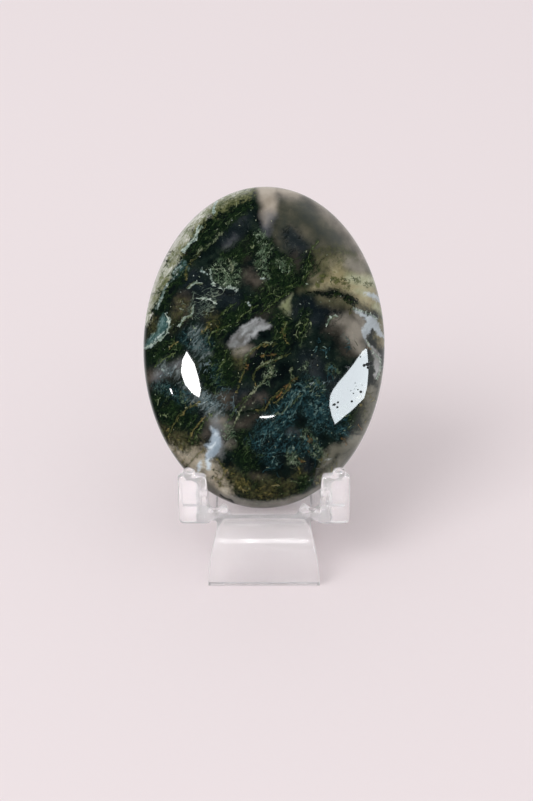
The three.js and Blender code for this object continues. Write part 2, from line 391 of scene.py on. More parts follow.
             (15.6, 10.1), (13.4, 10.9), (11.2, 11.1), (9.4, 11.0), (10.6, 12.2), (12.0, 13.6)],
        ],
        "grain": "cloud",
        "tones": {0.34: (126, 119, 86), 0.5: (152, 138, 108), 0.66: (176, 164, 134)},
        "ragged": 0.7, "by": "crumb", "soft": 2.4, "strength": 0.92,
    },
    "straw": {
        "forms": [
            (0.9, 1.1, (16.2, 13.0), (18.4, 12.4), (20.2, 12.0)),
            (0.4, 0.3, (17.2, 10.6), (20.4, 9.8)),
            (0.5, 0.5, (20.8, 7.9), (21.9, 6.3)),
        ],
        "patches": [
            [(3.5, 8.3), (4.2, 9.0), (5.1, 9.5), (5.2, 8.5), (4.9, 7.2), (4.5, 5.8), (3.9, 6.4),
             (3.4, 7.4)],
        ],
        "grain": "streak", "tones": {0.36: (138, 140, 108), 0.64: (184, 182, 158)},
        "ragged": 0.4, "by": "crumb", "soft": 1.5, "strength": 0.8,
    },
    "ochreMoss": {
        "forms": [
            (0.5, 0.5, (12.6, 12.6), (14.0, 12.0), (15.4, 11.5)),
            (0.15, 0.15, (16.2, 12.7), (17.8, 12.4)),
            (0.3, 0.4, (11.0, 13.2), (10.2, 11.6)),
            (0.1, 0.1, (18.8, 11.6), (19.8, 11.5)),
        ],
        "grain": "crumb", "tones": {0.36: (16, 28, 12), 0.5: (42, 52, 24), 0.64: (84, 86, 48)},
        "ragged": 1.6, "by": "crumb", "soft": 0.8, "strength": 0.85,
    },
    "oliveArc": {
        "forms": [
            (0.3, 0.7, (9.4, 17.6), (11.6, 18.6), (14.2, 18.3), (16.4, 17.0), (18.4, 15.2),
             (20.0, 13.6)),
        ],
        "grain": "crumb", "tones": {0.36: (44, 47, 30), 0.62: (78, 77, 54)},
        "ragged": 0.8, "by": "crumb", "soft": 1.3, "strength": 0.78,
    },
    "sand": {
        "forms": [
            (0.3, 1.7, (-17.2, -18.9), (-14.4, -21.0), (-12.0, -21.6)),
            (1.5, 1.2, (-10.2, -23.0), (-8.7, -25.4), (-7.4, -26.8)),
            (0.9, 0.7, (-12.6, -20.2), (-11.2, -20.4)),
        ],
        "grain": "cloud",
        "tones": {0.34: (158, 144, 128), 0.5: (178, 164, 148), 0.66: (202, 190, 177)},
        "ragged": 1.0, "by": "crumb", "soft": 2.9, "strength": 0.93,
    },
    "glow": {
        "forms": [
            (0.9, 1.9, (12.8, 4.9), (15.6, 4.4), (17.0, 2.2)),
            (1.4, 0.9, (16.6, 3.4), (17.8, -0.4)),
            (0.6, 0.7, (17.6, 6.0), (18.6, 4.0)),
            (0.9, 0.7, (-9.4, -13.8), (-7.4, -14.2)),
            (0.6, 0.1, (-7.3, -17.7), (-5.2, -18.4)),
            (0.6, 0.6, (-7.5, -15.6), (-7.2, -17.6)),
            (0.8, 0.8, (16.2, 15.3), (18.9, 14.4)),
            (0.6, 0.3, (-5.6, -0.7), (-2.6, -0.6)),
        ],
        "grain": "cloud", "tones": {0.34: (114, 106, 99), 0.66: (152, 142, 134)},
        "ragged": 0.6, "by": "cloud", "soft": 2.5, "strength": 0.85,
    },
    "blueHaze": {
        "forms": [
            (0.4, 1.1, (-9.2, -15.2), (-8.2, -17.6), (-8.6, -19.6)),
            (0.3, 0.9, (-9.0, -13.0), (-8.9, -15.0)),
        ],
        "grain": "cloud", "tones": {0.34: (112, 112, 116), 0.66: (148, 146, 152)},
        "ragged": 0.6, "by": "fibre", "soft": 1.8, "strength": 0.7,
    },
    "ash": {
        "forms": [
            (0.9, 1.3, (11.4, -21.2), (13.0, -19.9), (15.2, -18.7), (17.4, -17.0)),
            (1.1, 1.2, (20.0, -8.6), (20.4, -12.6), (18.8, -16.4)),
            (0.9, 1.0, (22.2, -5.6), (21.4, -11.0), (19.2, -16.2), (15.4, -20.8), (12.0, -24.0)),
        ],
        "grain": "cloud",
        "tones": {0.34: (98, 94, 84), 0.5: (116, 111, 101), 0.66: (140, 134, 124)},
        "ragged": 0.5, "by": "crumb", "soft": 1.6, "strength": 0.88,
    },
    "topStreak": {
        "patches": [
            [(-1.3, 30.8), (-1.1, 28.0), (-0.6, 26.0), (-0.1, 24.2), (0.5, 23.0), (0.9, 24.0),
             (1.6, 25.2), (2.3, 26.6), (2.7, 28.2), (2.9, 30.8)],
        ],
        "forms": [
            (0.5, 0.8, (2.8, 29.6), (6.4, 28.9)),
        ],
        "grain": "cloud", "tones": {0.34: (160, 145, 134), 0.66: (190, 174, 164)},
        "ragged": 0.3, "by": "cloud", "soft": 2.0, "strength": 0.92,
    },
    "lilacHaze": {
        "forms": [
            (1.1, 0.5, (0.9, 24.4), (0.5, 21.0)),
            (0.8, 0.5, (-19.8, -5.4), (-17.4, -4.4), (-15.6, -3.2)),
            (0.2, 0.3, (-5.6, 20.4), (-7.2, 18.2)),
            (0.5, 0.4, (4.9, -16.0), (5.9, -16.3)),
        ],
        "grain": "cloud", "tones": {0.34: (84, 84, 90), 0.66: (112, 110, 118)},
        "ragged": 0.5, "by": "crumb", "soft": 2.2, "strength": 0.6,
    },
    "celadon": {
        "forms": [
            (0.4, 0.8, (-2.4, 29.7), (-6.4, 28.4)),
            (0.8, 1.2, (-6.4, 28.4), (-10.6, 25.6), (-14.2, 21.9)),
            (1.3, 1.5, (-14.2, 21.9), (-17.2, 17.4)),
            (1.6, 1.1, (-16.9, 17.3), (-19.5, 12.4), (-21.1, 8.7)),
            (1.1, 0.5, (-21.1, 8.7), (-22.2, 4.8)),
        ],
        "grain": "fibre", "tones": {
            0.36: (98, 103, 80), 0.45: (148, 149, 130), 0.54: (186, 181, 173),
            0.64: (224, 218, 214)},
        "ragged": 0.8, "by": "crumb", "soft": 0.8, "strength": 0.95,
    },
    # rimHazeAndLight: a pale haze along the upper left rim, made paler still as painted light
    # showing through the thin edge
    "rimHazeAndLight": {
        "forms": [
            (0.3, 0.7, (-1.6, 30.6), (-6.4, 29.4), (-11.0, 26.8), (-15.2, 22.6), (-18.6, 17.0)),
            (0.7, 0.4, (-18.6, 17.0), (-20.8, 11.6), (-22.0, 7.0)),
        ],
        "grain": "cloud", "tones": {0.34: (146, 138, 132), 0.66: (186, 178, 174)},
        "ragged": 0.8, "by": "streak", "soft": 1.8, "strength": 0.75,
    },
    "celadonMoss": {
        "forms": [
            (0.8, 0.6, (-15.0, 18.6), (-17.2, 15.6)),
            (0.6, 0.7, (-11.4, 23.0), (-13.4, 20.9)),
            (0.7, 0.6, (-18.6, 12.2), (-20.0, 9.2)),
            (0.6, 1.0, (-2.2, 29.0), (-6.6, 27.2), (-9.6, 25.4)),
        ],
        "grain": "crumb", "tones": {0.38: (62, 70, 40), 0.62: (118, 116, 80)},
        "ragged": 1.2, "by": "crumb", "soft": 1.2, "strength": 0.75,
    },
    "frostFill": {
        "patches": [
            [(-18.9, 6.2), (-17.9, 5.0), (-17.7, 3.4), (-18.8, 1.6), (-20.6, 0.6), (-22.0, 0.2),
             (-21.4, 1.6), (-20.2, 2.6), (-19.8, 4.2), (-19.4, 5.6)],
        ],
        "forms": [
            (0.5, 0.6, (-15.2, 15.4), (-16.8, 13.6)),
            (0.4, 0.3, (-14.6, 15.6), (-14.2, 14.9)),
        ],
        "grain": "fibre", "tones": {0.38: (40, 66, 66), 0.5: (72, 98, 98), 0.62: (124, 146, 146)},
        "ragged": 0.6, "by": "crumb", "soft": 0.9, "strength": 0.85,
    },
    "veil": {
        "patches": [
            [(-6.9, 0.7), (-5.5, 2.1), (-3.8, 3.6), (-2.4, 4.5), (-0.9, 5.3), (-0.2, 4.8),
             (0.7, 4.3), (1.5, 3.9), (0.6, 3.4), (-0.6, 2.9), (-1.5, 1.7), (-3.0, 0.6), (-4.7, 0.0),
             (-6.6, -0.4)],
        ],
        "grain": "streak",
        "tones": {0.34: (96, 93, 92), 0.5: (124, 122, 125), 0.66: (158, 156, 161)},
        "ragged": 0.35, "by": "crumb", "soft": 0.75, "strength": 0.94,
    },
    "veilBright": {
        "forms": [
            (0.08, 0.4, (1.0, 3.9), (-0.8, 3.8), (-2.4, 3.2), (-3.8, 2.2)),
            (0.1, 0.12, (0.4, 3.5), (-1.0, 3.0), (-2.3, 2.1), (-3.3, 1.6)),
            (0.1, 0.06, (-0.9, 5.1), (-2.4, 4.2), (-3.8, 3.3)),
            (0.3, 0.2, (-5.0, 0.7), (-6.2, 0.3)),
        ],
        "grain": "streak", "tones": {0.34: (134, 134, 138), 0.66: (176, 176, 180)},
        "ragged": 0.3, "by": "crumb", "soft": 0.7, "strength": 0.7,
    },
    "lilac": {
        "patches": [
            [(16.8, 7.0), (18.3, 6.6), (19.9, 6.0), (20.9, 5.4), (21.7, 3.9), (22.3, 2.9),
             (22.5, 1.7), (21.6, 2.1), (20.9, 2.8), (20.2, 3.3), (19.6, 2.2), (19.3, 0.8),
             (18.5, 2.1), (18.3, 3.0), (18.7, 3.9), (19.0, 4.6), (18.5, 5.4), (17.7, 6.2)],
            [(18.6, 10.1), (19.9, 10.3), (21.2, 9.8), (21.8, 9.0), (22.1, 8.2), (21.2, 8.7),
             (20.2, 9.3)],
        ],
        "grain": "streak",
        "tones": {0.34: (158, 162, 170), 0.5: (176, 181, 190), 0.66: (202, 205, 210)},
        "ragged": 0.5, "by": "crumb", "soft": 0.6, "strength": 0.94,
    },
    "lilacEdge": {
        "patches": [
            [(19.1, 1.3), (19.6, 0.3), (20.7, -0.4), (21.4, -1.4), (21.7, -2.4), (22.2, -3.4),
             (21.9, -4.6), (21.2, -5.5), (20.7, -6.1), (20.6, -5.2), (20.9, -4.2), (20.7, -3.1),
             (20.3, -2.1), (20.0, -1.0), (19.3, 0.1)],
        ],
        "forms": [
            (0.06, 0.1, (19.2, 1.2), (19.9, -0.3), (20.5, -1.0), (21.4, -1.6)),
        ],
        "grain": "streak",
        "tones": {0.34: (134, 130, 130), 0.5: (158, 154, 156), 0.66: (188, 184, 188)},
        "ragged": 0.3, "by": "crumb", "soft": 0.5, "strength": 0.85,
    },
    "blueVeil": {
        "patches": [
            [(-9.7, -15.3), (-9.1, -15.3), (-8.3, -16.8), (-8.1, -18.2), (-8.4, -19.5),
             (-9.0, -20.6), (-9.6, -21.2), (-10.0, -21.9), (-10.3, -22.9), (-10.9, -22.6),
             (-10.6, -21.3), (-10.7, -20.4), (-10.3, -19.7), (-10.4, -19.1), (-10.9, -18.6),
             (-10.3, -17.8), (-9.9, -16.8)],
            [(-11.6, -21.2), (-11.9, -22.4), (-12.6, -23.0), (-12.7, -22.4), (-12.2, -21.6)],
        ],
        "grain": "streak",
        "tones": {0.36: (138, 149, 163), 0.5: (164, 174, 190), 0.62: (206, 212, 222)},
        "ragged": 0.45, "by": "crumb", "soft": 0.8, "strength": 0.95,
    },
    "frost": {
        "forms": [
            (0.1, 0.35, (-11.9, 22.4), (-12.5, 20.9), (-13.9, 19.4), (-14.8, 17.8)),
            (0.25, 0.3, (-15.6, 15.3), (-16.8, 13.8)),
            (0.2, 0.3, (-17.2, 12.9), (-18.2, 11.3), (-18.9, 9.6), (-19.9, 7.4)),
            (0.15, 0.2, (-8.8, 27.0), (-9.7, 25.0)),
            (0.0, 0.18, (-18.5, 6.3), (-17.8, 4.8), (-17.9, 3.2), (-19.2, 1.7), (-20.8, 0.5),
             (-22.1, -0.1)),
            (0.1, 0.05, (-6.2, 11.1), (-5.0, 10.4)),
            (0.2, 0.1, (-11.6, 14.2), (-10.6, 13.3)),
            (0.2, 0.12, (-3.1, 8.2), (-2.7, 7.8)),
            (0.1, 0.1, (-0.9, 12.7), (1.0, 12.9)),
            (0.18, 0.14, (-18.8, -4.0), (-18.2, -5.2)),
            (0.1, 0.14, (-12.4, -9.4), (-11.2, -9.9), (-10.2, -9.6)),
        ],
        "grain": "crumb",
        "tones": {0.36: (92, 112, 108), 0.5: (142, 158, 156), 0.62: (200, 208, 206)},
        "ragged": 0.35, "by": "crumb", "soft": 0.3, "strength": 0.82,
    },
    # mistAndBloom: a pale blue-grey haze in the stone, and around the left window's reflection a
    # painted bloom of that reflection
    "mistAndBloom": {
        "forms": [
            (0.7, 0.6, (-12.6, 2.2), (-11.4, -1.6)),
            (0.7, 0.9, (-12.6, -8.8), (-10.8, -10.4), (-9.0, -12.2)),
            (0.5, 0.4, (-18.8, -3.6), (-16.4, -4.6)),
            (0.4, 0.5, (-14.6, -6.8), (-12.8, -9.4)),
        ],
        "grain": "fibre", "tones": {0.36: (56, 66, 67), 0.5: (90, 100, 102), 0.64: (152, 159, 163)},
        "ragged": 1.3, "by": "fibre", "soft": 3.4, "strength": 0.82,
    },
    "crack": {
        "forms": [
            (0.3, 0.45, (8.5, 10.1), (10.4, 10.2), (12.2, 9.9), (13.4, 9.8)),
            (0.35, 0.62, (13.4, 9.8), (14.9, 9.2), (16.2, 8.6), (17.3, 8.1)),
            (0.14, 0.12, (-4.0, -12.1), (-0.6, -12.1)),
            (0.15, 0.1, (-6.9, -17.5), (-5.8, -17.0)),
            (0.3, 0.3, (19.5, -3.3), (20.1, -2.9)),
            (0.1, 0.12, (-18.2, 16.3), (-17.8, 15.9)),
        ],
        "grain": "crumb", "tones": {0.4: (2, 8, 9), 0.56: (6, 15, 12), 0.66: (28, 40, 18)},
        "ragged": 1.0, "by": "crumb", "soft": 0.3, "strength": 0.97,
    },
    "dots": {
        "forms": [
            (0.11, 0.11, (-13.5, 16.4), (-13.45, 16.4)), (0.1, 0.1, (-13.2, 13.0), (-13.15, 13.0)),
            (0.09, 0.09, (-15.4, 10.2), (-15.35, 10.2)), (0.08, 0.08, (-3.2, 21.2), (-3.15, 21.2)),
            (0.1, 0.1, (-11.9, 16.9), (-11.8, 16.9)), (0.08, 0.08, (6.7, 7.9), (6.8, 7.8)),
            (0.07, 0.07, (5.4, 6.0), (5.45, 6.0)), (0.07, 0.07, (14.3, 9.3), (14.35, 9.2)),
            (0.08, 0.08, (12.0, 17.2), (12.1, 17.2)), (0.1, 0.08, (-1.8, -29.2), (-1.4, -29.2)),
            (0.08, 0.08, (8.5, 1.0), (8.6, 1.0)), (0.1, 0.1, (-6.1, 24.0), (-5.9, 23.7)),
        ],
        "grain": "cloud", "tones": {0.4: (198, 206, 198), 0.6: (214, 216, 208)},
        "ragged": 0.1, "by": "crumb", "soft": 0.12, "strength": 0.85,
    },
}

# Threads of moss that lie over the soft layers. areas are forms that they start in, each with its
# number of threads for a square millimetre. flow is the way they run in degrees from level, spread
# how far they stray from it and curl how far they turn at each step. long is their length, thick
# half their thickness at the root and fine half the width of the line along their middle, all in
# millimetres; with thick below 0 only that line is left. lumps is how uneven they are, hues are the
# colours along each thread's own value, and shade is how far the stone is darkened beside them.
tangles = {
    "mossThreads": {
        "areas": [
            (1.2, (0.7, 1.7, (-2.7, 26.2), (-5.8, 24.6), (-9.0, 22.4), (-11.6, 20.6))),
            (1.2, (0.9, 1.0, (-12.8, 18.8), (-14.6, 15.8), (-16.6, 12.8), (-19.4, 8.0))),
            (1.0, (1.8, 1.6, (-6.0, 17.2), (-2.0, 19.2), (0.4, 17.4))),
            (1.5, (1.9, 1.9, (2.4, 15.4), (4.2, 13.4), (1.2, 10.4))),
            (1.7, (1.4, 1.1, (8.8, 15.6), (6.8, 12.6), (3.4, 10.8), (0.4, 9.2))),
            (1.9, (1.4, 1.1, (0.6, 8.6), (-3.4, 7.0), (-6.8, 4.4), (-9.6, 1.8))),
            (1.0, (1.4, 1.4, (2.2, 6.6), (3.2, 3.6), (3.6, 0.6))),
            (0.8, (1.0, 1.0, (7.4, 6.0), (6.8, 2.2))),
            (1.3, (2.3, 2.0, (-19.2, -10.4), (-16.0, -14.0))),
            (0.9, (2.2, 2.0, (-4.4, -17.6), (-3.0, -21.2))),
            (2.2, (1.5, 1.4, (7.4, -24.6), (7.6, -26.4))),
            (1.2, (1.5, 1.4, (15.4, -12.4), (16.8, -14.6))),
            (1.6, (1.8, 1.8, (-8.6, -1.2), (-6.2, -6.4))),
            (1.2, (1.6, 1.5, (-20.4, -1.4), (-17.0, 0.2))),
            (0.4, (2.2, 2.0, (-1.4, -0.4), (-3.4, -5.6))),
            (0.5, (1.6, 1.6, (0.6, -0.8), (3.4, -2.4))),
            (0.8, (1.2, 1.2, (-13.6, -13.6), (-12.6, -17.6))),
        ],
        "flow": 50, "spread": 24, "curl": 8,
        "long": (0.6, 2.4), "thick": (-0.04, 0.06), "fine": 0.05,
        "hues": {0.0: (9, 22, 12), 0.45: (24, 40, 21), 0.75: (44, 58, 33), 0.9: (74, 86, 58),
                 1.0: (132, 138, 108)},
        "strength": 0.8, "shade": 0.3,
    },
    "oliveCrumbs": {
        "areas": [
            (0.9, (2.2, 2.4, (-6.0, -24.4), (-1.6, -26.4), (4.0, -26.6))),
            (1.0, (1.3, 1.3, (11.8, -21.6), (10.4, -25.0))),
            (0.9, (1.3, 1.2, (18.2, -9.4), (19.4, -12.4))),
            (1.2, (1.0, 0.9, (-10.0, 5.4), (-8.4, 3.0))),
            (0.6, (1.5, 1.3, (-16.6, -17.4), (-14.4, -20.4))),
            (0.6, (1.2, 1.0, (-9.8, -23.4), (-8.4, -26.0))),
        ],
        "flow": 30, "spread": 90, "curl": 30,
        "long": (0.25, 0.8), "thick": (0.0, 0.09), "fine": 0.05,
        "hues": {0.0: (28, 33, 18), 0.5: (78, 73, 41), 0.8: (116, 104, 63), 1.0: (148, 136, 98)},
        "strength": 0.8, "shade": 0.3,
    },
    "tealThreads": {
        "areas": [
            (3.2, (1.5, 2.2, (6.0, -9.4), (3.8, -12.8), (0.6, -16.0))),
            (2.6, (1.6, 2.4, (8.8, -7.0), (10.2, -13.6))),
            (2.0, (1.7, 1.7, (12.6, -14.6), (15.0, -15.6))),
            (1.8, (2.0, 1.8, (3.0, -18.2), (9.2, -18.8))),
            (1.8, (1.6, 1.4, (-1.4, -17.8), (1.6, -21.0))),
            (1.0, (0.8, 0.8, (15.6, 0.8), (16.2, -0.6))),
            (1.4, (1.0, 1.0, (12.6, -4.2), (13.8, -4.8))),
            (1.2, (0.9, 0.9, (10.0, 2.0), (10.6, -0.6))),
            (1.2, (1.4, 1.4, (-16.4, -8.0), (-14.6, -10.0))),
        ],
        "flow": 52, "spread": 38, "curl": 14,
        "long": (0.4, 1.6), "thick": (-0.03, 0.06), "fine": 0.05,
        "hues": {0.0: (8, 24, 29), 0.45: (28, 53, 60), 0.75: (54, 84, 90), 0.92: (96, 120, 118),
                 1.0: (156, 168, 154)},
        "strength": 0.8, "shade": 0.35,
    },
    "sageLace": {
        "areas": [
            (2.4, (1.0, 1.0, (-0.6, 20.8), (0.4, 17.2), (-0.4, 13.8))),
            (1.6, (0.9, 0.9, (2.4, 16.4), (5.0, 14.4))),
            (2.0, (0.6, 0.6, (0.8, -3.6), (2.8, -5.6))),
            (2.4, (0.5, 0.5, (-0.8, -6.6), (1.4, -7.4))),
            (4.0, (0.8, 0.7, (5.2, -20.0), (6.0, -21.6))),
            (3.4, (0.7, 0.7, (7.8, -16.6), (9.2, -17.6))),
            (2.4, (0.8, 0.8, (9.4, -18.8), (10.4, -20.6))),
            (1.8, (0.5, 0.5, (7.6, -3.2), (8.4, -4.2))),
            (1.4, (0.8, 0.8, (8.0, -7.4), (9.6, -8.6))),
            (5.0, (0.5, 0.5, (-6.9, -14.8), (-6.3, -16.8))),
            (1.8, (1.2, 0.7, (-8.8, 13.4), (-6.4, 12.4))),
            (0.8, (1.0, 0.9, (-6.4, 14.8), (-4.6, 13.2))),
            (1.5, (0.9, 0.7, (-13.6, 5.0), (-10.6, 3.0))),
            (1.2, (1.0, 0.8, (-16.0, -8.4), (-14.4, -9.8))),
        ],
        "flow": 60, "spread": 70, "curl": 24,
        "long": (0.25, 0.8), "thick": (-0.08, 0.0), "fine": 0.045, "lumps": 0.2,
        "hues": {0.0: (44, 62, 46), 0.5: (82, 98, 78), 0.8: (128, 140, 120), 1.0: (188, 192, 176)},
        "strength": 0.82, "shade": 0.4,
    },
    "feathers": {
        "areas": [
            (5.0, (0.8, 0.9, (-12.4, 8.4), (-9.0, 8.8))),
            (2.4, (0.7, 0.7, (-14.0, 7.0), (-13.2, 6.2))),
            (1.0, (1.6, 1.4, (-14.0, 10.6), (-10.4, 5.6))),
        ],
        "flow": 14, "spread": 45, "curl": 7,
        "long": (0.6, 2.0), "thick": (-0.08, -0.02), "fine": 0.04, "lumps": 0.15,
        "hues": {0.0: (50, 60, 56), 0.6: (92, 102, 92), 1.0: (146, 152, 136)},
        "strength": 0.75, "shade": 0.3,
    },
    "mistAndBloomThreads": {
        "areas": [
            (2.4, (1.0, 1.2, (-12.2, -8.6), (-9.4, -10.8))),
            (4.4, (0.4, 0.4, (-12.6, -9.2), (-10.6, -9.9))),
            (0.9, (1.2, 1.0, (-12.2, 0.8), (-10.6, -6.0))),
            (2.0, (1.2, 1.2, (-8.2, -9.4), (-6.2, -12.4))),
            (1.0, (0.9, 0.9, (-19.6, -4.6), (-17.2, -5.4))),
            (0.5, (1.0, 1.0, (9.0, -4.6), (12.0, -8.6))),
        ],
        "flow": 48, "spread": 24, "curl": 4,
        "long": (0.4, 1.6), "thick": (-0.08, -0.01), "fine": 0.04, "lumps": 0.15,
        "hues": {0.0: (52, 66, 70), 0.6: (94, 108, 114), 0.9: (142, 154, 160),
                 1.0: (206, 214, 216)},
        "strength": 0.78, "shade": 0.25,
    },
    "twigs": {
        "areas": [
            (0.9, (0.7, 0.7, (12.4, 12.4), (14.6, 12.0), (15.2, 11.0))),
            (0.4, (0.5, 0.5, (15.8, 12.6), (17.4, 11.8))),
            (1.0, (0.3, 0.3, (11.2, 12.8), (10.4, 10.8))),
            (1.1, (0.4, 0.4, (15.6, 6.9), (18.8, 6.1))),
            (2.2, (0.7, 0.7, (12.4, 10.2), (16.4, 8.8))),
            (0.5, (1.4, 1.1, (-9.6, -22.6), (-8.2, -26.2))),
            (0.5, (1.6, 1.6, (-16.2, 18.2), (-18.6, 13.4))),
            (0.3, (1.0, 1.0, (16.0, 1.4), (17.0, -0.4))),
        ],
        "flow": 50, "spread": 60, "curl": 14,
        "long": (0.3, 1.1), "thick": (-0.04, 0.06), "fine": 0.05,
        "hues": {0.0: (14, 26, 12), 0.6: (34, 48, 22), 1.0: (66, 66, 32)},
        "strength": 0.85, "shade": 0.0,
    },
}

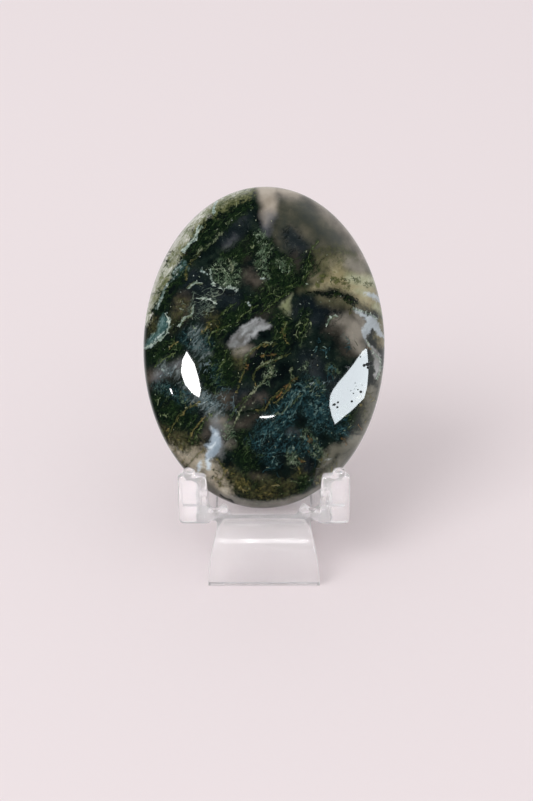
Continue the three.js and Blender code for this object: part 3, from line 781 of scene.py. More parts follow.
# Ropes follow a drawn line as two twisted strands. A line is half its thickness, how far it sways,
# and its points, in millimetres. The rest is as it is for the threads.
ropes = {
    "goldRopes": {
        "lines": [
            (0.1, 0.15, (2.5, 0.4), (0.3, 0.4), (-1.6, -0.6), (-3.0, -2.0), (-3.4, -3.6),
             (-4.0, -5.5), (-4.7, -7.4), (-5.0, -8.5)),
            (0.12, 0.12, (2.2, -1.5), (0.8, -1.7), (-0.9, -1.7)),
            (0.08, 0.12, (5.0, -1.3), (3.1, -2.2), (1.2, -2.8), (-0.2, -3.4), (-1.4, -4.3),
             (-2.0, -5.5), (-1.6, -7.4)),
            (0.14, 0.25, (6.4, -5.7), (4.5, -6.9), (4.0, -7.8), (2.9, -8.5), (1.7, -9.5),
             (0.4, -11.2), (-1.2, -12.2)),
            (0.08, 0.2, (5.0, -7.4), (3.4, -9.4), (2.0, -10.6)),
            (0.1, 0.25, (-11.9, -10.3), (-14.1, -11.4), (-16.2, -13.2), (-17.4, -15.5),
             (-18.0, -16.9)),
            (0.1, 0.2, (-10.9, -13.2), (-12.2, -14.2), (-13.5, -16.1), (-14.1, -17.4)),
            (0.09, 0.15, (-16.2, 1.0), (-17.6, -0.3)),
            (0.14, 0.3, (-9.0, 4.8), (-10.2, 4.4), (-10.7, 3.2), (-11.6, 2.4)),
            (0.1, 0.2, (-12.0, 17.6), (-13.1, 16.3), (-14.4, 14.6), (-14.6, 12.4)),
            (0.1, 0.3, (3.8, 4.4), (3.6, 2.0), (4.6, 0.4)),
            (0.12, 0.2, (6.6, -20.6), (7.4, -21.4)),
            (0.1, 0.2, (6.4, -22.4), (6.8, -23.6)),
            (0.05, 0.2, (-9.0, -20.6), (-7.6, -22.4), (-7.3, -24.0), (-8.3, -25.0), (-7.6, -26.4)),
            (0.04, 0.06, (-11.2, -19.3), (-12.4, -20.0), (-13.4, -21.2), (-14.4, -22.2)),
        ],
        "hues": {0.0: (42, 50, 28), 0.45: (70, 72, 42), 0.8: (108, 98, 60), 1.0: (144, 124, 80)},
        "fine": 0.055, "strength": 0.72, "shade": 0.3,
    },
    "sageRopes": {
        "lines": [
            (0.12, 0.2, (1.2, -3.6), (1.7, -5.0), (0.8, -5.5), (0.0, -6.7), (-1.6, -8.1),
             (-3.0, -9.7), (-4.6, -12.2), (-5.7, -14.8)),
            (0.08, 0.12, (3.4, -2.0), (1.6, -2.6), (0.0, -3.2), (-1.2, -4.1)),
            (0.06, 0.1, (1.6, 0.7), (-0.4, 0.6), (-2.0, -0.5), (-3.2, -1.6), (-3.7, -3.2)),
            (0.04, 0.35, (-6.0, 24.1), (-6.9, 22.2)),
            (0.08, 0.35, (-7.8, 21.4), (-8.7, 20.4), (-9.7, 19.3), (-11.6, 18.3), (-13.1, 16.6)),
            (0.11, 0.2, (11.9, 4.2), (12.3, 5.5), (13.6, 5.6)),
            (0.11, 0.25, (-13.4, 7.4), (-13.5, 6.0), (-15.0, 5.1), (-15.7, 3.9)),
            (0.1, 0.2, (-11.8, 11.6), (-13.2, 11.9), (-14.4, 11.0)),
            (0.1, 0.25, (7.0, -9.0), (4.6, -11.2), (2.4, -13.0)),
            (0.1, 0.25, (8.0, 3.0), (7.2, 1.4), (6.8, 0.0)),
            (0.09, 0.2, (-6.6, 16.4), (-5.8, 14.8), (-6.2, 13.4)),
            (0.1, 0.3, (5.6, -6.0), (4.8, -5.0), (5.4, -4.0)),
        ],
        "hues": {0.0: (42, 56, 36), 0.5: (82, 92, 66), 1.0: (156, 158, 132)},
        "fine": 0.05, "strength": 0.66, "shade": 0.3,
    },
    "greenEdges": {
        "lines": [
            (0.04, 0.1, (-5.1, 8.1), (-6.8, 7.0), (-8.2, 5.8)),
            (0.04, 0.08, (1.5, 9.9), (0.6, 9.4)),
            (0.04, 0.15, (-1.1, 7.7), (-3.0, 6.5), (-5.1, 4.8)),
            (0.05, 0.08, (-6.2, 4.1), (-8.2, 3.3), (-9.8, 2.5), (-10.3, 1.3), (-10.0, 0.2)),
            (0.04, 0.3, (8.4, 13.8), (7.2, 12.6)),
            (0.04, 0.3, (5.8, 11.6), (4.2, 10.8)),
            (0.03, 0.05, (10.2, 19.6), (8.9, 18.4), (8.3, 16.6), (8.6, 15.2)),
            (0.06, 0.2, (4.4, 9.8), (2.4, 8.6), (0.8, 7.4), (-0.4, 6.0)),
            (0.06, 0.2, (4.0, 4.6), (3.8, 2.7), (3.1, 1.3)),
            (0.06, 0.2, (8.3, 5.1), (7.6, 3.4), (6.8, 2.3)),
            (0.06, 0.2, (-6.8, -0.6), (-7.6, -2.6), (-8.6, -4.6)),
            (0.06, 0.15, (-16.6, -1.2), (-18.6, -2.2), (-20.4, -3.6)),
            (0.05, 0.1, (-9.4, -12.2), (-11.0, -13.8), (-12.6, -16.2), (-13.4, -18.2)),
            (0.05, 0.1, (-3.2, -9.4), (-5.2, -11.4), (-6.6, -14.0)),
        ],
        "hues": {0.0: (30, 45, 18), 0.5: (58, 72, 36), 1.0: (120, 130, 92)},
        "fine": 0.05, "strength": 0.66, "shade": 0.35,
    },
    "tealRopes": {
        "lines": [
            (0.1, 0.25, (6.6, -8.4), (4.8, -11.0), (2.8, -13.2), (0.8, -15.2)),
            (0.1, 0.25, (7.2, -9.4), (5.8, -12.0), (3.6, -14.6), (1.6, -16.4)),
            (0.1, 0.25, (5.6, -8.2), (3.6, -10.6), (1.4, -12.8), (-0.4, -14.6)),
            (0.08, 0.3, (6.2, -6.8), (7.6, -7.4), (8.0, -9.0)),
            (0.08, 0.3, (9.0, -8.6), (9.8, -11.2), (9.4, -13.4)),
            (0.08, 0.3, (11.8, -10.2), (11.2, -12.6), (11.8, -14.8)),
        ],
        "hues": {0.0: (20, 43, 50), 0.5: (46, 76, 82), 1.0: (110, 134, 132)},
        "fine": 0.045, "strength": 0.65, "shade": 0.35,
    },
    "paleEdges": {
        "lines": [
            (0.05, 0.06, (-9.9, 14.4), (-10.0, 12.8), (-9.4, 11.5), (-8.4, 10.9), (-7.2, 10.8),
             (-6.3, 11.15), (-5.5, 11.0), (-4.9, 10.35)),
            (0.06, 0.06, (-18.4, 6.2), (-17.8, 5.0), (-17.7, 3.6), (-18.4, 2.1), (-19.6, 1.1),
             (-21.0, 0.4), (-22.0, 0)),
            (0.06, 0.06, (-11.7, 22.6), (-12.4, 21.1), (-13.6, 19.7), (-14.6, 18.2), (-15.0, 17.6)),
            (0.05, 0.04, (16.6, 7.0), (18.2, 6.7), (19.8, 6.1), (21.0, 5.3)),
            (0.06, 0.04, (19.1, 1.3), (19.8, -0.2), (20.5, -1.0), (21.4, -1.8), (21.9, -3.0),
             (21.6, -4.6), (20.9, -5.9)),
            (0.03, 0.08, (11.8, 4.1), (12.2, 5.2), (12.9, 5.7), (13.7, 5.6)),
            (0.02, 0.08, (-12.6, 9.0), (-11.2, 8.9), (-10.0, 8.7), (-8.8, 8.0)),
            (0.02, 0.08, (-13.2, 7.6), (-13.2, 6.2), (-15.0, 5.2), (-15.8, 3.8)),
            (0.02, 0.08, (-11.6, 11.9), (-12.9, 11.9), (-14.2, 10.9)),
        ],
        "hues": {0.0: (96, 110, 98), 0.5: (148, 160, 150), 1.0: (206, 212, 204)},
        "fine": 0.06, "strength": 0.78, "shade": 0.25,
    },
    "rust": {
        "lines": [
            (0.2, 0.12, (4.4, -7.3), (4.0, -8.0)),
            (0.08, 0.2, (3.2, -8.6), (2.6, -9.6)),
            (0.12, 0.1, (2.2, -1.5), (1.2, -1.7), (-0.4, -1.7)),
            (0.03, 0.2, (6.0, -5.9), (5.2, -6.4)),
            (0.14, 0.15, (6.6, -20.8), (7.2, -21.6)),
            (0.1, 0.1, (8.3, -16.9), (9.0, -17.4)),
            (0.1, 0.2, (8.4, -17.4), (8.9, -18.0)),
            (0.02, 0.3, (14.4, -17.0), (15.2, -17.4), (15.6, -18.2)),
            (0.12, 0.3, (17.8, -14.6), (18.2, -15.2)),
            (0.1, 0.1, (-0.2, -9.9), (0.2, -10.0)),
            (0.08, 0.1, (8.2, -19.4), (8.4, -19.6)),
            (0.12, 0.2, (19.3, 0.0), (19.6, -0.6)),
            (0.1, 0.2, (-2.9, -3.6), (-3.2, -4.2)),
        ],
        "hues": {0.0: (60, 48, 32), 0.5: (96, 74, 46), 1.0: (142, 102, 62)},
        "fine": 0.055, "strength": 0.7, "shade": 0.3,
    },
}

# Hair is fine lines where a noise crosses a level, over the layers named: along one of the grains,
# or along a noise of its own at a scale on one of the spaces. The grain named by broken breaks the
# lines up where it is below gaps, and more of narrow makes them thinner.
hair = {
    "mossRims": {
        "over": ["greenDeep", "olive"], "strength": 0.5,
        "along": "moss", "level": 0.55, "narrow": 26, "broken": "crumb", "gaps": 0.49,
        "tones": {0.36: (28, 45, 21), 0.5: (49, 64, 35), 0.64: (104, 113, 82)},
    },
    "mossHair": {
        "over": ["greenDeep", "olive", "ochreMoss"], "strength": 0.45,
        "on": "mossed", "scale": 0.93, "level": 0.5, "narrow": 30, "broken": "moss", "gaps": 0.5,
        "tones": {0.36: (15, 31, 14), 0.5: (35, 50, 25), 0.64: (82, 91, 60)},
    },
    "tealHair": {
        "over": ["tealDeep"], "strength": 0.7,
        "on": "mossed", "scale": 1.2, "level": 0.5, "narrow": 26, "broken": "crumb", "gaps": 0.46,
        "tones": {0.36: (23, 47, 51), 0.5: (49, 78, 84), 0.64: (114, 138, 134)},
    },
    "lichenHair": {
        "over": ["lichen"], "strength": 0.92,
        "on": "place", "scale": 2.1, "level": 0.5, "narrow": 17, "broken": "crumb", "gaps": 0.46,
        "tones": {0.36: (56, 74, 54), 0.5: (94, 110, 88), 0.64: (164, 172, 150)},
    },
    "paleHair": {
        "over": ["mistAndBloom", "slate", "brownHaze"], "strength": 0.42,
        "on": "drawn", "scale": 1.4, "level": 0.5, "narrow": 36, "broken": "crumb", "gaps": 0.56,
        "tones": {0.36: (44, 52, 48), 0.5: (76, 84, 76), 0.64: (138, 144, 132)},
    },
    "darkHair": {
        "over": ["mistAndBloom", "slate", "greenDeep", "tealDeep"], "strength": 0.75,
        "on": "drawn", "scale": 1.2, "level": 0.46, "narrow": 20, "broken": "murk", "gaps": 0.5,
        "tones": {0.4: (4, 10, 10), 0.6: (12, 20, 18)},
    },
}

grainPlan = {
    "shake": (0.7, 4, 0.6), "shakeReach": 1.6,  # a noise that moves others by so many millimetres
    "fibreTurn": 50,  # degrees from level, the way most fibres run
    "stretch": {"drawn": (0.42, 1.5, 1.0), "mossed": (0.9, 1.9, 1.4)},  # spaces turned along them
    "noises": {  # the space, then scale, detail, roughness and distortion
        "crumb": ("place", 1.35, 8, 0.68), "fleck": ("place", 1.7, 2, 0.5),
        "moss": ("mossed", 1.0, 7, 0.7), "fibre": ("drawn", 1.0, 8, 0.66, 0.8),
        "streak": ("drawn", 0.45, 4, 0.55), "cloud": ("place", 0.2, 4, 0.55),
        "murk": ("shaken", 0.4, 7, 0.6),
    },
}

threadPlan = {
    "step": 0.22,  # millimetres from point to point
    "bendKept": 0.7,  # the share of a turn that goes on in the next step
    "clumps": 0.7, "leastClumps": 3,  # where threads start from, for a square millimetre
    "clumpReach": 0.55,  # how far clumps stray off the line, as a share of the form's half width
    "clumpSize": 0.5,
    "hueShape": (1.3, 1.6),  # how the threads' values spread from 0 to 1
    "forks": 3,  # a thread has fewer than this
    "forkTurn": (0.5, 1.2), "forkLength": 0.4, "forkThickness": 0.75,
    "strands": 2, "strandStep": 0.2, "strandWave": 0.4, "strandPace": (1.6, 3.0),
    "strandEven": 5,  # steps that the sway is evened out over
    "strandThickness": 0.55, "pieceSteps": (4, 14), "gapSteps": (0, 5),
    "twigs": 1.8,  # for a millimetre of strand
    "twigStray": 0.12, "twigLength": (0.1, 0.35), "twigCurl": 0.5, "twigStep": 0.12,
    "twigThickness": 0.5,
    "taper": 0.5,  # how much of its thickness a thread loses to its end
    "reach": 0.7,  # millimetres around a thread where it is drawn
    "waver": 0.35,  # millimetres that a form's outline wanders
}

paintPlan = {
    "deepTones": {0.32: (3, 9, 10), 0.44: (9, 18, 17), 0.56: (19, 30, 26), 0.68: (42, 48, 40)},
    "drift": 0.15,  # how much tones vary along the fibres
    "raggedReach": 4,  # a noise's middle range times this is about a millimetre
    "hairNoise": (3, 0.6, 0.4),  # detail, roughness and distortion
    "hairEdge": (0.0, 0.7), "hairArea": (-0.8, 0.6), "hairGap": (-0.04, 0.05),
    "lumps": 0.35, "lineWaver": 0.25, "hueChange": 1.4,  # what the crumb noise does to a thread
    "shadow": (6, 13, 12), "shadowEdge": (-0.45, 0.0),  # painted shadow beside threads, and the painted shade in pits
    "threadEdge": (-0.06, 0.06), "lineEdge": (0.4, 1.6), "lineArea": (-0.2, -0.08),
    "fleckTones": {0.4: (126, 140, 128), 0.6: (170, 166, 140)},
    "fleckEdge": (0.72, 0.75), "fleckStrength": 0.75, "calmEdge": (-1.0, 1.0),  # none in the smoke
    "clearLightTones": {0.36: (84, 80, 72), 0.64: (116, 110, 103)},  # the clear band along the lower rim, its tone painted light seen through the thin stone
    "clearLightEdge": (-0.4, 0.3), "clearLightLumps": 0.8, "clearLightStrength": 0.9, "clearLightWidth": 1.0,
    "clearLightLine": [(-11.0, -26.2), (-7.6, -28.4), (-4.0, -29.5), (0, -30.0), (4.0, -29.6),
                  (8.4, -28.2), (12, -25.8), (14.8, -23.0), (17.2, -20.0)],
    # edgeLight: the stone painted paler towards its outline, as light through the thin edge
    "edgeLightTone": (150, 143, 138), "edgeLightEdge": (-0.2, 0.05), "edgeLightStrength": 0.45,
    "gain": (1.04, 1.12, 1.07),  # red, green and blue
    "roughness": 0.035, "pitRoughness": 0.9, "pitEdge": (-0.07, 0.0), "pitLumps": 0.3,
    "ior": 1.54,
    "pits": [  # small pits in the polish: radius, x, y
        (0.23, 18.1, -8.4), (0.15, 16.7, -8.7), (0.19, 16.4, -10.2), (0.19, 13.8, -10.4),
        (0.2, 13.2, -10.8), (0.13, 12.9, -10.9), (0.16, 13.7, -11.3), (0.29, 19.3, -3.3),
        (0.25, 18.7, -3.5), (0.34, 19.9, -3.1), (0.22, 19.4, -3.9), (0.13, 18.0, -1.9),
        (0.19, 15.8, -4.0), (0.15, 15.4, -3.8), (0.1, 17.2, -7.4), (0.09, 16.9, -7.9),
        (0.1, 17.5, -8.0), (0.09, 17.0, -6.8), (0.09, 16.2, -8.2), (0.09, 18.3, -7.2)],
    "rimCrack": (0.16, 0.08, (-7.9, -27.4), (-7.1, -27.9), (-6.5, -28.3), (-5.7, -29.3)),
}

farOff = 60.0  # millimetres, more than the stone reaches
tiny = 1e-9


def wander(flat, amount):
    # a smooth, fixed wobble, so that drawn lines don't look ruled
    x, y = flat[:, 0], flat[:, 1]
    dx = np.sin(0.9 * y + 1.3 * np.sin(0.5 * x)) + 0.5 * np.sin(2.3 * y - 1.1 * x + 0.7)
    dy = np.sin(0.8 * x + 1.7 * np.sin(0.6 * y)) + 0.5 * np.sin(2.1 * x + 1.3 * y + 2.1)
    return flat + amount * 0.6 * np.stack([dx, dy], axis=1)


def seenFlat(points, plan):
    # where each point is seen from straight in front, with the stone's roll
    near = 1 / (1 - points[:, 2] / plan["viewDistance"])
    behind = np.maximum(-points[:, 2], 0)
    x = points[:, 0] * near + behind * plan["backShift"][0]
    y = points[:, 1] * near + behind * plan["backShift"][1]
    turn = stoneRoll + plan["backTurn"] * behind
    c, s = np.cos(turn), np.sin(turn)
    return np.stack([c * x - s * y, s * x + c * y], axis=1)


def depthInForm(flat, form):
    # millimetres inside the edge of one form, negative outside
    start, end, *line = form
    line = np.array(line, float)
    lengths = np.linalg.norm(np.diff(line, axis=0), axis=1)
    done, total = 0.0, lengths.sum()
    best = np.full(len(flat), -farOff)
    for a, b, length in zip(line[:-1], line[1:], lengths):
        t = np.clip(((flat - a) @ (b - a)) / max(length ** 2, tiny), 0, 1)
        width = start + (end - start) * (done + t * length) / total
        best = np.maximum(best, width - np.linalg.norm(flat - a - t[:, None] * (b - a), axis=1))
        done += length
    return best


def depthInPatch(flat, corners):
    # the same for a closed outline
    corners = np.array(corners, float)
    far, inside = np.full(len(flat), farOff), np.zeros(len(flat), bool)
    for a, b in zip(corners, np.roll(corners, -1, axis=0)):
        side = b - a
        t = np.clip(((flat - a) @ side) / max(side @ side, tiny), 0, 1)
        far = np.minimum(far, np.linalg.norm(flat - a - t[:, None] * side, axis=1))
        crosses = (a[1] > flat[:, 1]) != (b[1] > flat[:, 1])
        inside ^= crosses & (flat[:, 0] < a[0] + (flat[:, 1] - a[1]) * side[0] / (side[1] or tiny))
    return np.where(inside, far, -far)


def lineLength(line):
    return np.linalg.norm(np.diff(np.array(line), axis=0), axis=1).sum()


def alongLine(line, share):
    # the point at a share of a line's length
    line = np.array(line, float)
    reach = np.concatenate([[0], np.cumsum(np.linalg.norm(np.diff(line, axis=0), axis=1))])
    at = share * reach[-1]
    return np.array([np.interp(at, reach, line[:, 0]), np.interp(at, reach, line[:, 1])])


def walk(start, heading, length, curl, rng, step=threadPlan["step"]):
    points, bend = [start], 0.0
    for _ in range(max(2, int(length / step))):
        bend = threadPlan["bendKept"] * bend + rng.normal(0, curl)
        heading += bend
        points.append(points[-1] + step * np.array([math.cos(heading), math.sin(heading)]))
    return np.array(points)


def growTangle(plan, habit, rng):
    # threads as (points, half thickness, own value)
    threads = []
    curl = math.radians(plan["curl"])
    for share, (start, end, *line) in plan["areas"]:
        area = lineLength(line) * (start + end) + math.pi * ((start + end) / 2) ** 2
        spread = habit["clumpReach"] * (start + end) / 2
        clumps = [alongLine(line, rng.random()) + rng.normal(0, spread, 2)
                  for _ in range(max(habit["leastClumps"], int(area * habit["clumps"])))]
        for _ in range(int(area * share)):
            clump = clumps[rng.integers(len(clumps))]
            root = clump + rng.normal(0, habit["clumpSize"], 2)
            heading = math.radians(plan["flow"] + rng.normal(0, plan["spread"]))
            heading += math.pi * rng.integers(2)
            thick, hue = rng.uniform(*plan["thick"]), rng.beta(*habit["hueShape"])
            stem = walk(root, heading, rng.uniform(*plan["long"]), curl, rng)
            threads.append((stem, thick, hue))
            for _ in range(rng.integers(habit["forks"])):
                fork = stem[rng.integers(len(stem))]
                turn = heading + rng.choice([-1, 1]) * rng.uniform(*habit["forkTurn"])
                twig = walk(fork, turn, habit["forkLength"] * rng.uniform(*plan["long"]), curl, rng)
                threads.append((twig, habit["forkThickness"] * thick, hue))
    return threads


def twistRope(thick, sway, line, habit, rng):
    length = lineLength(line)
    shares = np.linspace(0, 1, max(4, int(length / habit["strandStep"])))
    spine = np.array([alongLine(line, share) for share in shares])
    across = np.gradient(spine, axis=0)[:, ::-1] * [-1, 1]
    across /= np.linalg.norm(across, axis=1)[:, None] + tiny
    even = habit["strandEven"]
    threads = []
    for strand in range(habit["strands"]):
        phase, pace = rng.uniform(0, 6.3), rng.uniform(*habit["strandPace"])
        drift = np.convolve(rng.normal(0, 1, len(shares) + even - 1), np.ones(even) / even, "valid")
        offset = sway * (habit["strandWave"] * np.sin(phase + pace * shares * length) + drift)
        points = spine + across * offset[:, None]
        start = 0
        while start < len(points) - 2:  # the strand comes and goes
            stop = start + int(rng.integers(*habit["pieceSteps"]))
            width = thick * rng.uniform(0.0, habit["strandThickness"])
            threads.append((points[start:stop + 1], width, rng.random()))
            start = stop + int(rng.integers(*habit["gapSteps"]))
        for _ in range(int(length * habit["twigs"])):
            root = points[rng.integers(len(points))] + rng.normal(0, habit["twigStray"], 2)
            heading, reach = rng.uniform(0, 6.3), rng.uniform(*habit["twigLength"])
            twig = walk(root, heading, reach, habit["twigCurl"], rng, habit["twigStep"])
            threads.append((twig, habit["twigThickness"] * thick, rng.random()))
    return threads


def threadsOf(plan, habit, seed):
    rng = np.random.default_rng(seed)
    if "areas" in plan:
        return growTangle(plan, habit, rng)
    return [thread for thick, sway, *line in plan["lines"]
            for thread in twistRope(thick, sway, line, habit, rng)]


class NearPoints:
    # the mesh points near a place, from squares of a millimetre
    def __init__(self, flat):
        self.flat = flat
        self.squares = {}
        keys = np.floor(flat).astype(int)
        order = np.lexsort((keys[:, 1], keys[:, 0]))
        cuts = np.nonzero(np.any(np.diff(keys[order], axis=0), axis=1))[0] + 1
        for group in np.split(order, cuts):
            self.squares[tuple(keys[group[0]])] = group
        self.around = {}

    def at(self, place):
        x, y = math.floor(place[0]), math.floor(place[1])
        if (x, y) not in self.around:
            keys = [(x + i, y + j) for i in (-1, 0, 1) for j in (-1, 0, 1)]
            groups = [self.squares[key] for key in keys if key in self.squares]
            self.around[x, y] = np.concatenate(groups) if groups else np.zeros(0, int)
        return self.around[x, y]


def threadFields(near, threads, habit):
    # at each mesh point, how deep it is in a thread, that thread's value and how far off its middle
    count = len(near.flat)
    depth, hue, aside = np.full(count, -habit["reach"]), np.zeros(count), np.ones(count)
    for points, thick, value in threads:
        steps = len(points) - 1
        for i, (a, b) in enumerate(zip(points[:-1], points[1:])):
            index = near.at((a + b) / 2)
            if not len(index):
                continue
            way = b - a
            off = near.flat[index] - a
            t = np.clip(off @ way / max(way @ way, tiny), 0, 1)
            width = thick * (1 - habit["taper"] * i / steps)
            inside = width - np.linalg.norm(off - t[:, None] * way, axis=1)
            cross = (off[:, 0] * way[1] - off[:, 1] * way[0]) / np.linalg.norm(way)
            better = inside > depth[index]
            at = index[better]
            depth[at], hue[at], aside[at] = inside[better], value, cross[better]
    return depth, hue, aside


def addField(mesh, name, values):
    mesh.attributes.new(name, "FLOAT", "POINT").data.foreach_set("value", values.astype(np.float32))


def drawMarkings(mesh, points, habit, paint):
    # each marking is a field on the mesh, which the material reads
    seen = seenFlat(points, stonePlan)
    flat = wander(seen, habit["waver"])
    for name, layer in growth.items():
        depths = [depthInForm(flat, form) for form in layer.get("forms", [])]
        depths += [depthInPatch(flat, corners) for corners in layer.get("patches", [])]
        addField(mesh, name, np.max(depths, axis=0))
    near = NearPoints(seen)
    for seed, (name, plan) in enumerate([*tangles.items(), *ropes.items()]):
        threads = threadsOf(plan, habit, seed)
        for suffix, values in zip(("", "Hue", "Aside"), threadFields(near, threads, habit)):
            addField(mesh, name + suffix, values)
        print(name, len(threads), "threads")
    pits = [radius - np.hypot(seen[:, 0] - x, seen[:, 1] - y) for radius, x, y in paint["pits"]]
    addField(mesh, "pits", np.max([*pits, depthInForm(flat, paint["rimCrack"])], axis=0))
    # the clear lower rim, where painted light seen through the thin stone is laid
    clear = (paint["clearLightWidth"], paint["clearLightWidth"], *paint["clearLightLine"])
    addField(mesh, "rimClearLight", depthInForm(seen, clear))
    half = np.array([stonePlan["width"], stonePlan["length"]]) / 2
    addField(mesh, "outline", (np.linalg.norm(points[:, :2] / half, axis=1) - 1) * half.mean())
    place = mesh.attributes.new("place", "FLOAT_VECTOR", "POINT")
    place.data.foreach_set("vector", points.astype(np.float32).ravel())


def readField(tree, name):
    return addNode(tree, "ShaderNodeAttribute", attribute_name=name).outputs["Fac"]


def makeGrains(tree, plan):
    # the noises by name, and the spaces that they are drawn in
    place = addNode(tree, "ShaderNodeAttribute", attribute_name="place").outputs["Vector"]
    shaken = addNode(tree, "ShaderNodeVectorMath", operation="MULTIPLY_ADD")
    feed(tree, noise(tree, place, *plan["shake"])[1], shaken.inputs[0])
    shaken.inputs[1].default_value = (plan["shakeReach"],) * 3
    feed(tree, place, shaken.inputs[2])
    turned = addNode(tree, "ShaderNodeMapping", vector_type="TEXTURE")
    feed(tree, shaken.outputs[0], turned.inputs["Vector"])
    turned.inputs["Rotation"].default_value = (0, 0, math.radians(plan["fibreTurn"]))
    grains = {"place": place, "shaken": shaken.outputs[0]}
    for name, size in plan["stretch"].items():
        grains[name] = stretched(tree, turned.outputs["Vector"], size)
    for name, (space, *settings) in plan["noises"].items():
        grains[name] = noise(tree, grains[space], *settings)[0]
    return grains


def paintLayer(tree, colour, grains, drift, name, layer):
    off = calc(tree, "SUBTRACT", grains[layer["by"]], 0.5)
    reach = paintPlan["raggedReach"] * layer["ragged"]
    edge = calc(tree, "MULTIPLY_ADD", off, reach, readField(tree, name))
    mask = stepUp(tree, edge, -layer["soft"] / 2, layer["soft"] / 2)
    mask = calc(tree, "MULTIPLY", mask, layer["strength"])
    value = calc(tree, "ADD", grains[layer["grain"]], drift)
    return blendColour(tree, mask, colour, ramp(tree, value, layer["tones"]))


def paintHair(tree, colour, grains, plan):
    if "along" in plan:
        value = grains[plan["along"]]
    else:
        value = noise(tree, grains[plan["on"]], plan["scale"], *paintPlan["hairNoise"])[0]
    off = calc(tree, "ABSOLUTE", calc(tree, "SUBTRACT", value, plan["level"]))
    line = calc(tree, "SUBTRACT", 1.0, calc(tree, "MULTIPLY", off, plan["narrow"]))
    area = readField(tree, plan["over"][0])
    for name in plan["over"][1:]:
        area = calc(tree, "MAXIMUM", area, readField(tree, name))
    line = stepUp(tree, line, *paintPlan["hairEdge"])
    mask = calc(tree, "MULTIPLY", line, stepUp(tree, area, *paintPlan["hairArea"]))
    low, high = (plan["gaps"] + edge for edge in paintPlan["hairGap"])
    mask = calc(tree, "MULTIPLY", mask, stepUp(tree, grains[plan["broken"]], low, high))
    mask = calc(tree, "MULTIPLY", mask, plan["strength"])
    return blendColour(tree, mask, colour, ramp(tree, grains["fibre"], plan["tones"]))


def paintThreads(tree, colour, rough, drift, name, plan):
    lumps = plan.get("lumps", paintPlan["lumps"])
    depth = calc(tree, "MULTIPLY_ADD", rough, lumps, readField(tree, name))
    shade = stepUp(tree, depth, *paintPlan["shadowEdge"])
    shade = calc(tree, "MULTIPLY", shade, plan["shade"])
    colour = blendColour(tree, shade, colour, tone(*paintPlan["shadow"]))
    aside = readField(tree, name + "Aside")
    aside = calc(tree, "ABSOLUTE", calc(tree, "MULTIPLY_ADD", rough, paintPlan["lineWaver"], aside))
    low, high = (plan["fine"] * share for share in paintPlan["lineEdge"])
    line = calc(tree, "SUBTRACT", 1.0, stepUp(tree, aside, low, high))
    line = calc(tree, "MULTIPLY", line, stepUp(tree, depth, *paintPlan["lineArea"]))
    mask = calc(tree, "MAXIMUM", line, stepUp(tree, depth, *paintPlan["threadEdge"]))
    mask = calc(tree, "MULTIPLY", mask, plan["strength"])
    hue = readField(tree, name + "Hue")
    hue = calc(tree, "ADD", calc(tree, "MULTIPLY_ADD", rough, paintPlan["hueChange"], hue), drift)
    return blendColour(tree, mask, colour, ramp(tree, hue, plan["hues"]))


def paintFlecks(tree, colour, grains, plan):
    flecks = stepUp(tree, grains["fleck"], *plan["fleckEdge"])
    calm = stepUp(tree, readField(tree, "smoke"), *plan["calmEdge"])
    calm = calc(tree, "SUBTRACT", 1.0, calm)
    flecks = calc(tree, "MULTIPLY", calc(tree, "MULTIPLY", flecks, calm), plan["fleckStrength"])
    return blendColour(tree, flecks, colour, ramp(tree, grains["cloud"], plan["fleckTones"]))


def paintRimLight(tree, colour, grains, rough, plan):
    # the clear band along the lower rim gets a pale tone of painted light seen through the thin
    # stone
    clear = calc(tree, "MULTIPLY_ADD", rough, plan["clearLightLumps"], readField(tree, "rimClearLight"))
    clear = stepUp(tree, clear, *plan["clearLightEdge"])
    clearLightTone = ramp(tree, grains["cloud"], plan["clearLightTones"])
    clear = calc(tree, "MULTIPLY", clear, plan["clearLightStrength"])
    colour = blendColour(tree, clear, colour, clearLightTone)
    # painted light: the stone gets paler towards its outline, where the edge is thin
    edgeLight = stepUp(tree, readField(tree, "outline"), *plan["edgeLightEdge"])
    edgeLight = calc(tree, "MULTIPLY", edgeLight, plan["edgeLightStrength"])
    return blendColour(tree, edgeLight, colour, tone(*plan["edgeLightTone"]))


def stoneMaterial(plan):
    # The renderer has room for about this many layers and threads in one material and no more, so
    # another one takes the place of one that is here.
    material, tree, shader = newMaterial("MossAgatePolish")
    grains = makeGrains(tree, grainPlan)
    colour = ramp(tree, grains["murk"], plan["deepTones"])
    drift = calc(tree, "SUBTRACT", grains["streak"], 0.5)
    drift = calc(tree, "MULTIPLY", drift, plan["drift"])
    for name, layer in growth.items():
        colour = paintLayer(tree, colour, grains, drift, name, layer)
    rough = calc(tree, "SUBTRACT", grains["crumb"], 0.5)
    for hairs in hair.values():
        colour = paintHair(tree, colour, grains, hairs)
    for name, threads in [*tangles.items(), *ropes.items()]:
        colour = paintThreads(tree, colour, rough, drift, name, threads)
    colour = paintFlecks(tree, colour, grains, plan)
    colour = paintRimLight(tree, colour, grains, rough, plan)
    # the pits and the rim crack are made rough, and darkened to the shadow tone as painted shade
    pits = calc(tree, "MULTIPLY_ADD", rough, plan["pitLumps"], readField(tree, "pits"))
    pits = stepUp(tree, pits, *plan["pitEdge"])
    colour = blendColour(tree, pits, colour, tone(*plan["shadow"]))
    feed(tree, stretched(tree, colour, plan["gain"]), shader.inputs["Base Color"])
    roughness = calc(tree, "MULTIPLY_ADD", pits, plan["pitRoughness"], plan["roughness"])
    feed(tree, roughness, shader.inputs["Roughness"])
    shader.inputs["IOR"].default_value = plan["ior"]
    return material


drawMarkings(stone.data, stonePoints, threadPlan, paintPlan)
stone.data.materials.append(stoneMaterial(paintPlan))
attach(stone, "root")
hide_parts("palm_stone")
print("stone painted with", len(growth), "layers")

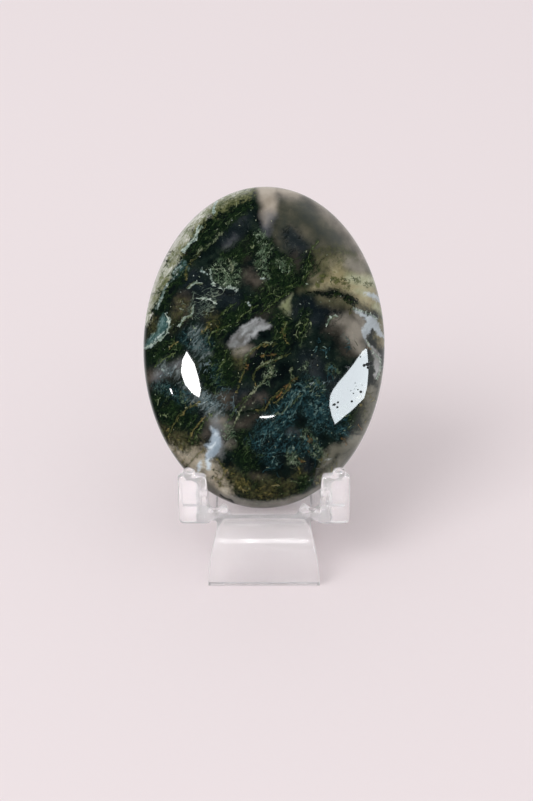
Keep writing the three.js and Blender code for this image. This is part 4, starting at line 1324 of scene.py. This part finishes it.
# The easel, moulded in one piece of clear plastic with rounded edges
easelPlan = {
    "voxel": 0.2,  # millimetres
    "smoothing": 12, "smoothFactor": 0.5,
    "tint": (1, 0.985, 0.988, 1), "see": 0.8, "ior": 1.49,
    "cloud": (260, 3, 0.5), "grain": (1500, 4, 0.6),  # scale for a metre, detail, roughness
    "rubbed": {"From Min": 0.35, "From Max": 0.65, "To Min": 0.15, "To Max": 0.27},
    "bump": 0.25, "bumpDepth": 0.00006, "bumpGrain": 0.3,
}


def roundedCopy(node, name, plan):
    piece = bpy.data.objects.new(name, node.data.copy())
    piece.matrix_world = node.matrix_world
    bpy.context.scene.collection.objects.link(piece)
    remesh = piece.modifiers.new("Remesh", "REMESH")
    remesh.mode = "VOXEL"
    remesh.voxel_size = plan["voxel"] * mm
    smooth = piece.modifiers.new("Smooth", "SMOOTH")
    smooth.factor = plan["smoothFactor"]
    smooth.iterations = plan["smoothing"]
    bpy.context.view_layer.update()
    rounded = piece.evaluated_get(bpy.context.evaluated_depsgraph_get())
    mesh = bpy.data.meshes.new_from_object(rounded)
    piece.modifiers.clear()
    piece.data = mesh
    mesh.shade_smooth()
    print("easel mesh:", len(mesh.polygons), "faces")
    return piece


def plasticMaterial(plan):
    # clear, a little milky, with the faint waves and rubbed patches of a moulding that was handled
    material, tree, shader = newMaterial("ClearPlastic")
    place = addNode(tree, "ShaderNodeTexCoord").outputs["Object"]
    cloud = noise(tree, place, *plan["cloud"])[0]
    grain = noise(tree, place, *plan["grain"])[0]
    rubbed = addNode(tree, "ShaderNodeMapRange")
    feed(tree, cloud, rubbed.inputs["Value"])
    for name, value in plan["rubbed"].items():
        rubbed.inputs[name].default_value = value
    feed(tree, rubbed.outputs["Result"], shader.inputs["Roughness"])
    bump = addNode(tree, "ShaderNodeBump")
    bump.inputs["Strength"].default_value = plan["bump"]
    bump.inputs["Distance"].default_value = plan["bumpDepth"]
    feed(tree, calc(tree, "MULTIPLY_ADD", grain, plan["bumpGrain"], cloud), bump.inputs["Height"])
    feed(tree, bump.outputs["Normal"], shader.inputs["Normal"])
    shader.inputs["Base Color"].default_value = plan["tint"]
    shader.inputs["Transmission Weight"].default_value = plan["see"]
    shader.inputs["IOR"].default_value = plan["ior"]
    return material


easel = roundedCopy(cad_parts["clear_easel"], "ClearEasel", easelPlan)
easel.data.materials.clear()
easel.data.materials.append(plasticMaterial(easelPlan))
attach(easel, "root")
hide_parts("clear_easel")

# Floor and camera
studioPlan = {
    "floorTone": (240, 230, 232), "floorRoughness": 0.9, "floorSize": 3.0,
    "elevation": 32, "lens": 90, "sensor": 36,
    "scale": 5.36,  # picture points per millimetre at the stone
    "pictureWidth": 533, "pictureHeight": 801,
    "stoneAt": (264, 347.5),  # the stone's middle in the picture
}


def directionOf(azimuth, elevation):
    # azimuth 0 is the front, 90 the right
    a, e = math.radians(azimuth), math.radians(elevation)
    return Vector((math.sin(a) * math.cos(e), -math.cos(a) * math.cos(e), math.sin(e)))


def makeFloor(plan):
    s = plan["floorSize"] / 2
    floor = meshObject("Floor", [(-s, -s, 0), (s, -s, 0), (s, s, 0), (-s, s, 0)], [(0, 1, 2, 3)])
    material, tree, shader = newMaterial("PaleFloor")
    shader.inputs["Base Color"].default_value = tone(*plan["floorTone"])
    shader.inputs["Roughness"].default_value = plan["floorRoughness"]
    shader.inputs["Specular IOR Level"].default_value = 0.0  # matte, so that no window shines on it
    floor.data.materials.append(material)
    floor.visible_glossy = False


def makeCamera(plan):
    camera = bpy.data.objects.new("Camera", bpy.data.cameras.new("Camera"))
    bpy.context.scene.collection.objects.link(camera)
    camera.data.lens = plan["lens"]
    camera.data.sensor_fit = "VERTICAL"
    camera.data.sensor_height = plan["sensor"]
    distance = plan["lens"] / plan["sensor"] * plan["pictureHeight"] / plan["scale"] * mm
    view = directionOf(0, plan["elevation"])
    right = Vector((1, 0, 0))
    up = view.cross(right)
    offRight = (plan["stoneAt"][0] - plan["pictureWidth"] / 2) / plan["scale"] * mm
    offUp = (plan["pictureHeight"] / 2 - plan["stoneAt"][1]) / plan["scale"] * mm
    place = stoneMiddle - right * offRight - up * offUp + view * distance
    turn = Matrix((right, up, view)).transposed().to_4x4()
    camera.matrix_world = Matrix.Translation(place) @ turn
    bpy.context.scene.camera = camera


# Lit windows that the polish mirrors, their corners as azimuth and elevation from the stone
windowPlan = {
    "LeftWindow": {
        "distance": 0.35, "brightness": 36, "colour": (1, 1, 1, 1),
        "corners": [
            (-43.1, 24.9), (-46.1, 20.9), (-46.3, 17.1), (-42.7, 14.7), (-37.4, 14.1),
            (-32.2, 14.5), (-31.1, 17.6), (-32.8, 20.6), (-36.2, 23.5)],
    },
    "RightWindow": {
        "distance": 0.2, "brightness": 17, "colour": (0.88, 0.95, 1, 1),
        "corners": [
            (71.8, 11.4), (69, 12.9), (65, 14.2), (59, 15.1), (46.8, 15.6), (40, 15.3), (36, 14.4),
            (34, 13), (33.9, 9.6), (36.2, 4.7), (39.8, -0.7), (47.7, -1.3), (61.6, -4.2),
            (69.6, -6.6), (72.2, -4.2), (72.9, 1.6)],
    },
    "LowLamp": {
        "distance": 0.35, "brightness": 60, "colour": (1, 1, 1, 1),
        "corners": [
            (-1.76, 14.98), (-0.6, 15.15), (1.9, 15.2), (5.1, 15.2), (3.7, 14.9), (1.4, 14.74),
            (-0.84, 14.78), (-1.67, 14.88)],
    },
    "SideLamp": {
        "distance": 0.35, "brightness": 60, "colour": (1, 1, 1, 1),
        "corners": [(-58.2, 5.5), (-56.6, 6.0), (-54.8, 4.9), (-57.0, 4.6)],
    },
}


def makeWindow(name, distance, brightness, colour, corners):
    points = [stoneMiddle + directionOf(*corner) * distance for corner in corners]
    middle = sum(points, Vector()) / len(points)
    count = len(points)
    faces = [(i, (i + 1) % count, count) for i in range(count)]
    window = meshObject(name, points + [middle], faces)
    material = bpy.data.materials.new(name + "Glow")
    material.use_nodes = True
    tree = material.node_tree
    tree.nodes.clear()
    glow = addNode(tree, "ShaderNodeEmission")
    glow.inputs["Color"].default_value = colour
    glow.inputs["Strength"].default_value = brightness
    out = addNode(tree, "ShaderNodeOutputMaterial")
    tree.links.new(glow.outputs[0], out.inputs["Surface"])
    window.data.materials.append(material)
    window.visible_diffuse = False
    window.visible_camera = False
    window.visible_shadow = False


# Soft light from the left, and two lamps for the plastic alone: a panel over the foot and a narrow
# beam on the ears. size, distance and aim are in metres, from in degrees.
lampPlan = {
    "KeySoft": {"from": (-52, 48), "distance": 1.8, "size": (1.0, 1.0), "watts": 10.4,
                "mirrored": False},
    "EaselPanel": {"from": (0, 35), "distance": 0.35, "size": (0.02, 0.05), "watts": 0.13,
                   "plasticOnly": True},
    "EarBeam": {"from": (0, 0), "distance": 0.12, "size": (0.036, 0.007), "watts": 0.0011,
                "aim": (0, -0.0135, 0.0165), "spread": 7, "mirrored": False, "seenThrough": False,
                "plasticOnly": True},
}

plasticOnly = bpy.data.collections.new("PlasticOnly")
plasticOnly.objects.link(easel)


def makeLamp(name, plan):
    lamp = bpy.data.lights.new(name, "AREA")
    lamp.shape = "RECTANGLE"
    lamp.size, lamp.size_y = plan["size"]
    lamp.energy = plan["watts"]
    lamp.spread = math.radians(plan.get("spread", 180))
    light = bpy.data.objects.new(name, lamp)
    bpy.context.scene.collection.objects.link(light)
    direction = directionOf(*plan["from"])
    light.location = Vector(plan.get("aim", stoneMiddle)) + direction * plan["distance"]
    light.rotation_euler = direction.to_track_quat("Z", "Y").to_euler()
    light.visible_glossy = plan.get("mirrored", True)
    light.visible_transmission = plan.get("seenThrough", True)
    if plan.get("plasticOnly"):
        light.light_linking.receiver_collection = plasticOnly


roomPlan = {
    "pale": (1.0, 0.985, 0.99, 1), "strength": 0.76,
    "dark": 0.03,  # what the polish mirrors in front, beside the windows
    "front": (-34, 12), "cone": (112, 84),  # degrees from the front, pale outside and dark inside
    "firstMirror": 2.5,  # a ray that was mirrored once has depth 2, later ones more
}


def makeRoom(plan):
    # an even pale room, of which polished faces mirror only the sides and back
    world = bpy.data.worlds.new("Room")
    world.use_nodes = True
    tree = world.node_tree
    background = tree.nodes["Background"]
    direction = addNode(tree, "ShaderNodeTexCoord").outputs["Generated"]
    toFront = addNode(tree, "ShaderNodeVectorMath", operation="DOT_PRODUCT")
    feed(tree, direction, toFront.inputs[0])
    toFront.inputs[1].default_value = directionOf(*plan["front"])
    low, high = (math.cos(math.radians(angle)) for angle in plan["cone"])
    inFront = stepUp(tree, toFront.outputs["Value"], low, high)
    path = addNode(tree, "ShaderNodeLightPath")
    notThrough = calc(tree, "SUBTRACT", 1.0, path.outputs["Is Transmission Ray"])
    mirrored = calc(tree, "MULTIPLY", path.outputs["Is Glossy Ray"], notThrough)
    first = calc(tree, "LESS_THAN", path.outputs["Ray Depth"], plan["firstMirror"])
    mirrored = calc(tree, "MULTIPLY", mirrored, first)
    dim = calc(tree, "MULTIPLY", inFront, mirrored)
    dim = calc(tree, "MULTIPLY", dim, 1 - plan["dark"])
    strength = calc(tree, "MULTIPLY", calc(tree, "SUBTRACT", 1.0, dim), plan["strength"])
    background.inputs["Color"].default_value = plan["pale"]
    feed(tree, strength, background.inputs["Strength"])
    bpy.context.scene.world = world


makeFloor(studioPlan)
makeCamera(studioPlan)
for name, plan in windowPlan.items():
    makeWindow(name, **plan)
for name, plan in lampPlan.items():
    makeLamp(name, plan)
makeRoom(roomPlan)
bpy.context.scene.view_settings.view_transform = "Standard"
print("studio set")
